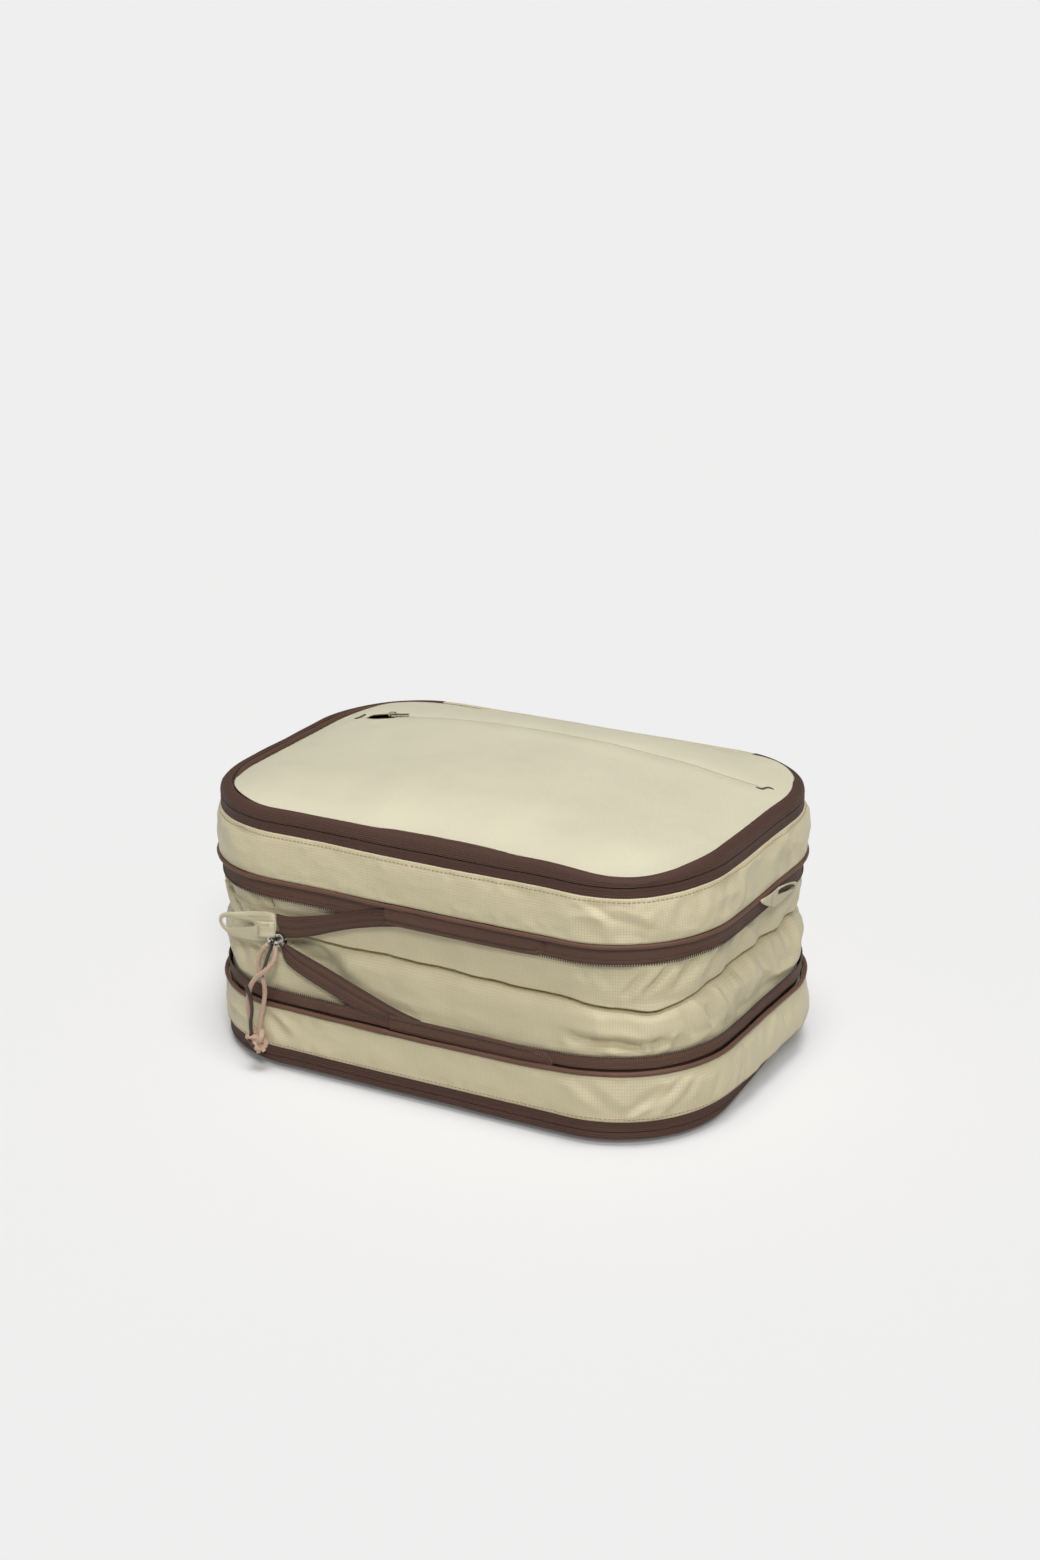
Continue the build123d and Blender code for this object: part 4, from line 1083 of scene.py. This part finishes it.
def lid_zip(name, zip_z, wall_z, up, case_body, lid_body, lid):
    """Closed zip round a lid, from one end of the fabric hinge to the other."""

    def field(s, out, z):
        sag = LID_SAG * near(s, CORNER_DIP, DIP_WIDTH) * smooth_step(z, TOP_ZIP + 1, TOP_ZIP + 7)
        return out + 0.18 * soft_noise(s, z, 14, 8, 61), z + 0.2 * soft_noise(s, z * 0, 22, 10, 62) - sag

    case_rows = ribbed(case_section(zip_z, wall_z, -up), 30, 0.13, 4)
    lid_rows = ribbed(lid_section(zip_z, up), 74, 0.15, 15)
    halves = (("case", case_rows, -up, case_body, name), ("lid", lid_rows, up, lid_body, lid))
    for half, rows, _, body, node in halves:
        strip(f"{name}_{half}_tape", rows, TAPE, body, reach=ZIP_REACH, field=field,
              replaced=[f"{node}_zip_tape"], thick=TAPE_THICK)
    for half, _, way, body, node in halves:
        coil_teeth(f"{name}_{half}_teeth", 2 - ZIP_REACH, ZIP_REACH - 2, -0.35, zip_z + way * 0.12, way, body,
                   height=1.3, radius=0.3, pitch=1.3, replaced=[f"{node}_zip_coil"])


def hinge_cloth(name, zip_z, wall_z, up, case_body, lid_body, lid):
    """Cloth hinge at the back: one strip between the case and the lid, riding on neither body."""
    section = [(0.15, wall_z), (0.3, (wall_z + zip_z) / 2), (0.35, zip_z)]
    section = ribbed(section + turned_edge(zip_z + up * 3.0, up, 10), 34, 0.0, 1)
    if up < 0:
        section = section[::-1]
    around = np.linspace(ZIP_REACH - 1.0, PERIMETER - ZIP_REACH + 1.0, 160)
    spines = [f"{name}_spine", f"{lid}_spine"]
    cloth = strip(f"{name}_hinge_cloth", section, SHELL, None, around=around, replaced=spines, thick=CLOTH,
                  field=lambda s, out, z: (out + 0.3 * soft_noise(s, z, 18, 8, 71), z))
    cut_cloth()
    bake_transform(cloth)


for lid in LIDS:
    lid_zip(*lid)
for lid in LIDS:
    hinge_cloth(*lid)


# ---- lid panel and pocket ------------------------------------------------------------------
POCKET_Y = 53.0
SLIT_HALF = 150.0
CROWN = LID_TOP - LID_EDGE


def lid_height(x, y):
    """Outer face of the stuffed top lid."""
    edge_y = HALF_D - LID_INSET
    rise = np.maximum(CROWN * (1 - np.minimum(np.abs(y) / edge_y, 1.02) ** 4), 0.3)
    half = HALF_L - LID_INSET
    radius = (half**2 + rise**2) / (2 * rise)
    return LID_EDGE + LID_EDGE_LIFT + rise * 0.95 - radius + np.sqrt(np.maximum(radius**2 - x**2, 1.0))


def rim(x, y):
    """For points of the lid: s of the outline beside them, the outward direction and their depth."""
    cx, cy = np.clip(x, -RUN_X, RUN_X), np.clip(y, -RUN_Y, RUN_Y)
    dx, dy = x - cx, y - cy
    far = np.hypot(dx, dy)
    turn = (np.arctan2(dy, dx) + math.pi / 2) % (2 * math.pi)
    straight = np.where(turn <= math.pi, 2 * RUN_X + RUN_Y + cy - cx, 3 * RUN_X + 3 * RUN_Y - cy)
    s = CORNER * turn + np.where(turn < 1e-9, cx, straight)
    safe = np.maximum(far, 1e-6)
    return s, dx / safe, dy / safe, CORNER - far


def shows(s):
    """Where the lid's piping stands clear of its zip, with a dark gap: 0 sunk, 1 clear."""
    d = signed(s)
    return (0.8 * band(d, -80, 10, 24, 104) + 0.3 * band(d, 200, 260, 290, 360)
            + band(d, -420, -370, -200, -150))


def drawn_in(x, y):
    """Pulls the lid's edge in where its piping shows, and lets its corner droop."""
    s, nx, ny, depth = rim(x, y)
    inner = np.maximum(depth - LID_INSET, 0)
    pull = (3.0 * shows(s) - 2.9 * near(s, 300, 105)) * np.exp(-((inner / 12) ** 2))
    droop = 5.6 * near(s, CORNER_DIP, DIP_WIDTH) * np.exp(-((inner / 20) ** 2))
    return x - nx * pull, y - ny * pull, -0.1 * pull - droop


def lid_grid(ys, columns, inset):
    """Rows of points across a rounded outline, x spread evenly over each row's own width."""
    corner = CORNER - inset
    over = np.clip(np.abs(ys) - (HALF_D - CORNER), 0, corner)
    width = HALF_L - CORNER + np.sqrt(np.maximum(corner**2 - over**2, 0))
    x = np.linspace(-1, 1, columns)[:, None] * width[None, :]
    return x, np.repeat(ys[None, :], columns, 0)


def plan_uv(x, y, corners):
    """A flat panel's cloth lies as its plan does."""
    return np.stack([a[corners[..., 0], corners[..., 1]] for a in (x, y)], -1)


def lid_rows(inset, count):
    """Values of y that crowd towards the rounded ends."""
    edge = HALF_D - inset
    t = np.linspace(-1, 1, count)
    return edge * np.sin(t * math.pi / 2) * 0.35 + edge * t * 0.65


def dimples(x, y):
    """Gentle hollows of the cloth over soft contents, and the pull of the pocket's seam."""
    u, v = x + HALF_L * 2, y + 300
    wide = 0.9 * soft_noise(u, v, 70, 55, 81) + 0.35 * soft_noise(u, v, 26, 24, 82)
    fine = 0.08 * soft_noise(u, v, 9, 9, 83)
    edge = np.minimum(HALF_D - LID_INSET - np.abs(y), HALF_L - LID_INSET - np.abs(x))
    behind = y - POCKET_Y
    seam = 0.5 * np.exp(-(((behind + 12) / 8) ** 2)) - 0.7 * np.exp(-((behind / 5) ** 2))
    seam = seam * (1 - smooth_step(np.abs(x), SLIT_HALF - 10, SLIT_HALF + 8))
    return (wide + fine) * smooth_step(edge, 0, 22) + seam


GAPE_FROM, GAPE_TO = -143.0, -115.0


def gape(x):
    """Half width of the pocket's mouth: open at the slider, closed along the rest."""
    t = np.clip((x - GAPE_FROM) / (GAPE_TO - GAPE_FROM), 0, 1)
    return 0.16 + 3.6 * np.sin(math.pi * t) ** 0.8


def make_lid():
    """Stuffed panel, slit along the pocket's mouth and drawn in at its edge."""
    ys = lid_rows(LID_INSET, 150)
    ys = ys[np.abs(ys - POCKET_Y) > 0.8]
    cut = np.count_nonzero(ys < POCKET_Y)
    rows = np.insert(ys, cut, (POCKET_Y, POCKET_Y))
    columns = 240
    x, y = lid_grid(rows, columns, LID_INSET)
    inside = np.abs(x) < SLIT_HALF
    reach = np.clip(1 - np.abs(rows - POCKET_Y) / 9, 0, 1)[None, :]
    sign = np.where(np.arange(len(rows)) <= cut, -1, 1)[None, :]
    y_open = y + np.where(inside, sign * gape(x) * reach, 0)
    lip = np.exp(-np.abs(y - POCKET_Y) / 2.2) * inside * smooth_step(gape(x), 0.3, 2.5)
    z = lid_height(x, y_open) + dimples(x, y) + lip * np.where(sign > 0, 1.9, -0.3)
    edge_x, edge_y, drop = drawn_in(x, y_open)
    grid = np.stack([edge_x, edge_y, np.minimum(z, LID_TOP + 1.5) + drop], -1)
    faces, corners = quads(columns, len(rows), False, False)
    middle_x = x[corners[:, 0, 0], corners[:, 0, 1]]
    sewn = (corners[:, 0, 1] != cut) | (np.abs(middle_x) >= SLIT_HALF - 2)
    faces, corners = faces[sewn], corners[sewn]
    lid = build("lid_cloth", grid.reshape(-1, 3), faces, plan_uv(x, y, corners), LID_CLOTH, "top_lid",
                replaced=["lid_panel"], thick=CLOTH)
    cut_panel(LID_INSET)


make_lid()


def pocket_strip(name, y0, y1, replaced=()):
    """Flat zip tape under the slit that follows the lid's crown."""
    x = np.linspace(-SLIT_HALF - 1, SLIT_HALF + 1, 160)
    y = np.linspace(y0, y1, 8)
    gx, gy = np.meshgrid(x, y, indexing="ij")
    grid = np.stack([gx, gy, lid_height(gx, gy) - 3.0], -1)
    surface(name, grid, x, y, TAPE_FLAT, "top_lid", replaced=replaced, thick=0.5)


def make_pocket():
    pocket_strip("pocket_tape_front", POCKET_Y - 9.5, POCKET_Y - 0.6, ["pocket_zip_tapes"])
    pocket_strip("pocket_tape_rear", POCKET_Y + 0.6, POCKET_Y + 9.5)
    parts = []
    for side, shift in ((-1, 0), (1, 0.65)):
        for x in np.arange(-SLIT_HALF + 4, SLIT_HALF - 4, 1.3) + shift:
            ends = [(x, POCKET_Y + side * d, float(lid_height(x, POCKET_Y)) - 2.9) for d in (0.1, 1.2)]
            parts.append(capsule(*ends, 0.28, sides=5))
    joined("pocket_teeth", parts, COIL, "top_lid")


make_pocket()


def bartack(name, centre, degrees, length, bend=0.0, replaced=()):
    """Dense zigzag of thread that locks the end of the pocket's seam."""
    parts = []
    count = round(length / 0.42)
    cos, sin = math.cos(math.radians(degrees)), math.sin(math.radians(degrees))
    for k in range(count):
        t = (k / (count - 1) - 0.5) * length
        sway = bend * math.sin(2 * math.pi * t / length)
        ends = []
        for across in (sway - 1.1, sway + 1.1):
            x, y = np.array(centre) + (t * cos - across * sin, t * sin + across * cos)
            ends.append((x, y, float(lid_height(x, y) + dimples(x, y)) + 0.3))
        parts.append(capsule(*ends, 0.3, sides=5))
    joined(name, parts, DARK_THREAD, "top_lid", replaced=replaced)


bartack("pocket_bartack_left", (-147.0, POCKET_Y), 78, 9.0, replaced=["pocket_bartacks"])
bartack("pocket_bartack_right", (152.5, POCKET_Y - 1.0), 38, 10.5, bend=1.4)


def lid_piping(name, level, body, node, free):
    """Edging between a lid's zip and its panel, as far round as the zip goes; free 1 lets it stray."""

    def field(s, out, z):
        swell = 1 + 0.08 * soft_noise(s, z * 0, 9, 10, 91)
        clear, sag = free * shows(s), free * LID_SAG * near(s, CORNER_DIP, DIP_WIDTH)
        return (LID_PIPING_OUT + (out - LID_PIPING_OUT) * swell - 1.2 * clear,
                level + (z - level) * swell + 3.0 * clear - sag)

    strip(f"{name}_edge_piping", tube_section(LID_PIPING_OUT, level, PIPING_R * 0.85), DARK_PIPING, body,
          reach=ZIP_REACH, closed=True, field=field, replaced=[node])


lid_piping("lid", LID_EDGE - 1.7, "top_lid", "lid_piping", 1)
lid_piping("base", BASE_EDGE, "bottom_lid", "bottom_piping", 0)


def lining(name, inset, low, body, node, wave, seed):
    """Flat cloth panel with the outline of the case, lightly uneven."""
    thickness = 0.7
    ys = lid_rows(inset, 90)
    x, y = lid_grid(ys, 130, inset)
    edge = np.minimum(HALF_D - inset - np.abs(y), HALF_L - inset - np.abs(x))
    z = low + thickness + wave * soft_noise(x + 400, y + 300, 34, 30, seed) * smooth_step(edge, 0, 15)
    faces, corners = quads(130, len(ys), False, False)
    plate = build(name, np.stack([x, y, z], -1).reshape(-1, 3), faces, plan_uv(x, y, corners), LINING, body,
                  replaced=[node], thick=thickness)
    cut_panel(inset)


lining("lid_inner_cloth", 8.2, span("lid_lining")[0][2] - 0.2, "top_lid", "lid_lining", 0.2, 95)
lining("divider_cloth", 0.2, span("divider")[0][2], "lower_case", "divider", 0.3, 96)


def make_base():
    """Lower lid: a flat panel on the floor whose edge turns up to the piping."""
    insets = [*np.linspace(CORNER + 40, 16, 46), 14.2, 12.8, 11.6, 10.8, 10.4, BASE_INSET]
    heights = [0.0] * 47 + [0.25, 0.7, 1.4, 2.2, BASE_EDGE]
    s = columns_round(3.0)
    rings = []
    for inset, z in zip(insets, heights):
        x, y, nx, ny = outline(s)
        if inset > CORNER - 8:
            x, y = x * ((HALF_L - inset) / HALF_L), y * ((HALF_D - inset) / HALF_D)
        else:
            x, y = x - nx * inset, y - ny * inset
        risen = foot_lift(s) * math.exp(-(((inset - BASE_INSET) / 22) ** 2))
        rings.append(np.stack([x, y, z + risen], -1))
    grid = np.stack(rings, 1)
    columns, rows = grid.shape[:2]
    faces = quads(columns, rows, True, False)[0]
    flat = grid.reshape(-1, 3)
    cap = [i * rows for i in range(columns)][::-1]
    uv = np.concatenate([flat[faces][..., :2].reshape(-1, 2), flat[cap, :2]])
    base = build("base_cloth", flat, [tuple(f[::-1]) for f in faces.tolist()] + [tuple(cap)], uv, LID_CLOTH,
                 "bottom_lid", replaced=["bottom_panel"])
    cut_panel(BASE_INSET)


make_base()


# ---- free ends of the compression zip ------------------------------------------------------
def on_front(x, z, out):
    return np.stack(np.broadcast_arrays(x, -HALF_D - out, z), -1)


def between(top, bottom, share, out):
    """Line on the front at a share of the way from a band's bottom line to its top."""
    shares = np.linspace(0.03, 0.97, 120)
    upper, lower = (by_share(spread(line, 1.0), shares) for line in (top, bottom))
    line = lower * (1 - share) + upper * share
    return on_front(line[:, 0], line[:, 1], out)


def ribbon(name, top, bottom, material, body, out, crown, fold=None, **rest):
    """Band of tape on the front between two lines of (x, z) points, crowned across its width."""
    lines = [spread(line, 1.0) for line in (bottom, top)]
    count = max(len(line) for line in lines)
    lower, upper = (by_share(line, np.linspace(0, 1, count)) for line in lines)
    across = np.linspace(0, 1, 26)
    flat = lower[:, None] * (1 - across[:, None]) + upper[:, None] * across[:, None]
    lift = out + crown * np.sin(math.pi * across) ** 0.7 + 0.06 * np.cos(across * 2 * math.pi * 5)
    if fold is not None:
        lift = lift - 0.75 * np.exp(-(((across - fold) / 0.07) ** 2))
        lift = lift + 0.35 * np.exp(-(((across - fold - 0.16) / 0.09) ** 2))
    width = np.linalg.norm(upper - lower, axis=1).mean()
    return surface(name, on_front(flat[..., 0], flat[..., 1], lift), np.arange(count), across * width,
                   material, body, thick=TAPE_THICK, **rest)


def edge_teeth(name, line, out, towards, material, body, pitch=1.3, length=1.4, radius=0.32):
    """Coil teeth along a drawn edge on the front; towards is +1 or -1, to the tape's side."""
    line = spread(line, pitch)
    step = np.gradient(line, axis=0)
    step /= np.hypot(*step.T)[:, None]
    inner = line + np.stack([-step[:, 1], step[:, 0]], -1) * towards * length
    heads, feet = (on_front(a[:, 0], a[:, 1], out) for a in (line, inner))
    return joined(name, [capsule(a, b, radius) for a, b in zip(heads, feet)], material, body)


# lines of the two free ends, in (x, z) from the zip's start
LOWER_ARM = (
    [(3.0, -1.0), (14.0, -5.2), (31.0, -10.6), (52.0, -18.0), (76.0, -26.6), (90.0, -31.0), (104.0, -33.8)],
    [(2.6, -3.4), (4.0, -14.0), (11.0, -19.0), (24.0, -24.6), (42.0, -31.0), (58.0, -36.6), (82.0, -41.5),
     (104.0, -43.0)],
)
UPPER_ARM = (
    [(0.5, 17.0), (8.0, 16.4), (22.0, 19.4), (40.0, 24.0), (58.0, 30.0), (80.0, 36.0), (92.0, 37.6)],
    [(3.0, 1.4), (16.0, 3.6), (30.0, 8.0), (46.0, 14.4), (60.0, 19.0), (78.0, 23.6), (92.0, 26.2)],
)


def make_arm(name, lines, towards, fold, share):
    """Free end of the compression zip: a folded tape with its teeth on the inner edge."""
    body = f"{name}_case"
    top, low = ([(x + START_X, z + START_Z) for x, z in line] for line in lines)
    edge = top if towards < 0 else low
    pieces = (
        ribbon(f"{name}_arm_tape", top, low, ARM_TAPE, body, 0.75, 0.7, fold=fold,
               replaced=[f"{name}_zip_arm"]),
        edge_teeth(f"{name}_arm_teeth", edge, 1.0, towards, COIL, body),
        stitches(f"{name}_arm_stitch", between(top, low, share, 1.5), DARK_THREAD, body,
                 pitch=2.4, length=1.7, radius=0.2),
    )
    for piece in pieces:
        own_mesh(piece)


make_arm("lower", LOWER_ARM, -1, 0.55, 0.17)
make_arm("upper", UPPER_ARM, 1, 0.42, 0.8)

TAIL_FROM, TAIL_BEND = -20.0, 30.0


def make_tail(name, chain, seam, reach):
    """Overlapping end of the zip, with its coil turned into the seam at the right."""
    body = f"{name}_case"
    up = math.copysign(1, seam - chain)
    rises = ((TAIL_FROM, 0), (TAIL_BEND, -0.3), (reach - 12, 0), (reach - 3, 1.2), (reach, 6.0))
    edge = [(x, chain + up * rise) for x, rise in rises] + [(reach - 1.0, seam - up * 1.6)]
    falls = ((TAIL_FROM, 1.0), (TAIL_BEND, 1.0), (reach - 12, 1.2), (reach - 6, 1.3), (reach - 3, 1.4),
             (reach - 1.4, 1.5))
    back = [(x, seam - up * fall) for x, fall in falls]
    top, low = (back, edge) if up > 0 else (edge, back)
    ribbon(f"{name}_tail_tape", top, low, TAPE_FLAT, body, 1.5, 0.35, replaced=[f"{name}_zip_tail"])
    inner = [(x, z + up * 1.9) for x, z in edge[:3]]
    inner += [(reach - 4.4, chain + up * 3.0), (reach - 2.2, chain + up * 7.0),
              (reach - 2.6, seam - up * 1.8)]
    edge_teeth(f"{name}_tail_teeth", inner, 2.05, up, COIL, body)
    turned = spread(inner[2:], 1.0)
    # the turned teeth take the lighter coil copy, a painted sheen
    edge_teeth(f"{name}_tail_turn", turned, 2.35, up, COIL_PAINTED_SHEEN, body, pitch=1.5, radius=0.3, length=1.2)


for half, reach in zip(HALVES, (96.0, 92.0)):
    make_tail(*half, reach)


# ---- tabs ----------------------------------------------------------------------------------
def loop_tab(name, outer, inner, at, body, node, lift):
    """Ribbon loop: a soft ring between an outer and an inner line, placed by at(along, up, out)."""
    count = 140
    lines = []
    for line in (outer, inner):
        line = cut_corners(np.array([*line, line[0]], float), 2, closed=True)
        far = along(line)
        lines.append(sample(line, np.linspace(0, far[-1], count, endpoint=False), far))
    across = np.linspace(0, 1, 9)
    flat = lines[0][:, None] * (1 - across[:, None]) + lines[1][:, None] * across[:, None]
    out = lift(flat[..., 0], flat[..., 1]) + 0.5 * np.sin(math.pi * across)
    grid = at(flat[..., 0], flat[..., 1], out)[::-1]
    u = np.linspace(0, along(lines[0])[-1], count)
    surface(name, grid, u, across * 6, WEBBING, body, wrap_u=True, replaced=[node], thick=1.1)


def sewn(name, points, at, out, material, body, step=1.0, **rest):
    """Stitches along a line drawn on one face of the case."""
    line = spread(points, step)
    return stitches(name, at(line[:, 0], line[:, 1], out), material, body, **rest)


LEFT_OUTER = [
    (-144.4, 97.0), (-142.4, 101.8), (-136.0, 104.6), (-128.0, 106.2), (-115.5, 108.8), (-101.0, 110.4),
    (-100.4, 104.0), (-100.4, 97.9), (-103.6, 92.0), (-110.0, 89.4), (-118.0, 87.4), (-129.6, 86.6),
    (-138.0, 88.4), (-143.0, 92.4),
]
LEFT_INNER = [
    (-141.8, 97.0), (-140.0, 100.0), (-135.0, 101.0), (-129.0, 101.2), (-123.0, 101.4), (-117.4, 100.8),
    (-116.6, 99.2), (-117.4, 98.0), (-121.0, 97.0), (-125.0, 96.0), (-129.6, 94.8), (-134.0, 93.2),
    (-138.0, 92.8), (-141.0, 94.4),
]


def make_gusset_seam():
    """Upright seam of the bellows beside the zip's start."""
    points = [(-106.5, 126.0), (-105.2, 119.0), (-101.6, 112.0)]
    seam = sewn("gusset_seam", points, on_front, -0.25, DARK_THREAD, "lower_case", step=0.8,
                pitch=1.9, length=1.7, radius=0.28)
    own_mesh(seam)


def make_left_tab():
    """Finger loop and the cloth wrapped round the zip's end, each with its stitches."""
    loop_tab("left_loop_tab", LEFT_OUTER, LEFT_INNER, on_front, "zip_end", "left_tab",
             lambda x, z: 2.6 + 1.5 * np.exp(-(((x + 130) / 12) ** 2)) * np.sin((z - 95) / 5))
    sewn("left_tab_stitch", [(-130, 103.4), (-114, 105.6), (-102, 107.4)], on_front, 3.75, THREAD, "zip_end",
         pitch=2.4, length=1.7, radius=0.18)
    k = np.arange(9)
    columns = ((-114.6, 2.8), (-113.8, 4.3), (-110.0, 4.7), (-104.0, 4.5), (-100.8, 3.4))
    grid = np.stack([on_front(x, np.linspace(92.0, 102.6, 9) + (x + 114) * 0.12, out + 0.3 * np.sin(k * 1.5))
                     for x, out in columns])
    surface("zip_end_cloth", grid, np.arange(5) * 2.6, k * 1.3, WEBBING, "zip_end",
            replaced=["zip_end_wrap"], thick=0.7)
    for k, line in enumerate((((-112.4, 93.6), (-111.8, 101.0)), ((-110.6, 101.2), (-102.4, 102.4)))):
        sewn(f"zip_end_stitch_{k + 1}", line, on_front, 4.95, THREAD, "zip_end",
             pitch=1.7, length=1.2, radius=0.24)


def on_right(y, z, out):
    return np.stack(np.broadcast_arrays(HALF_L + out, y, z), -1)


RIGHT_OUTER = [
    (-12.5, 131.2), (-6.6, 131.8), (-0.8, 131.1), (9.4, 130.8), (15.2, 132.0), (29.4, 129.4),
    (42.6, 124.0), (44.6, 120.4), (34.4, 118.8), (26.1, 118.6), (10.4, 118.6), (-5.4, 126.0),
]
RIGHT_INNER = [
    (11.8, 127.4), (12.4, 128.8), (13.6, 130.2), (20.5, 129.9), (28.7, 127.8), (35.6, 125.0),
    (39.4, 122.6), (39.0, 121.2), (31.9, 122.0), (25.9, 123.2), (16.9, 125.8), (13.0, 126.6),
]


def make_right_tab():
    loop_tab("right_loop_tab", RIGHT_OUTER, RIGHT_INNER, on_right, "upper_case", "right_tab",
             lambda y, z: 5.2 + 1.6 * np.exp(-(((y - 30) / 16) ** 2)) * (z - 124) / 5)
    sewn("right_tab_stitch", [(1, 122.6), (4, 130.6)], on_right, 6.0, THREAD, "upper_case",
         pitch=1.6, length=1.2, radius=0.2)


make_gusset_seam()
make_left_tab()
make_right_tab()


# ---- metal nodes keep their shapes ---------------------------------------------------------
for name in ("zip_slider", "top_slider", "bottom_slider", "pocket_slider", "top_pull", "bottom_pull",
             "pocket_pull", "pull_blade"):
    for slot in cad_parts[name].material_slots:
        slot.material = GUNMETAL if name == "pull_blade" else METAL
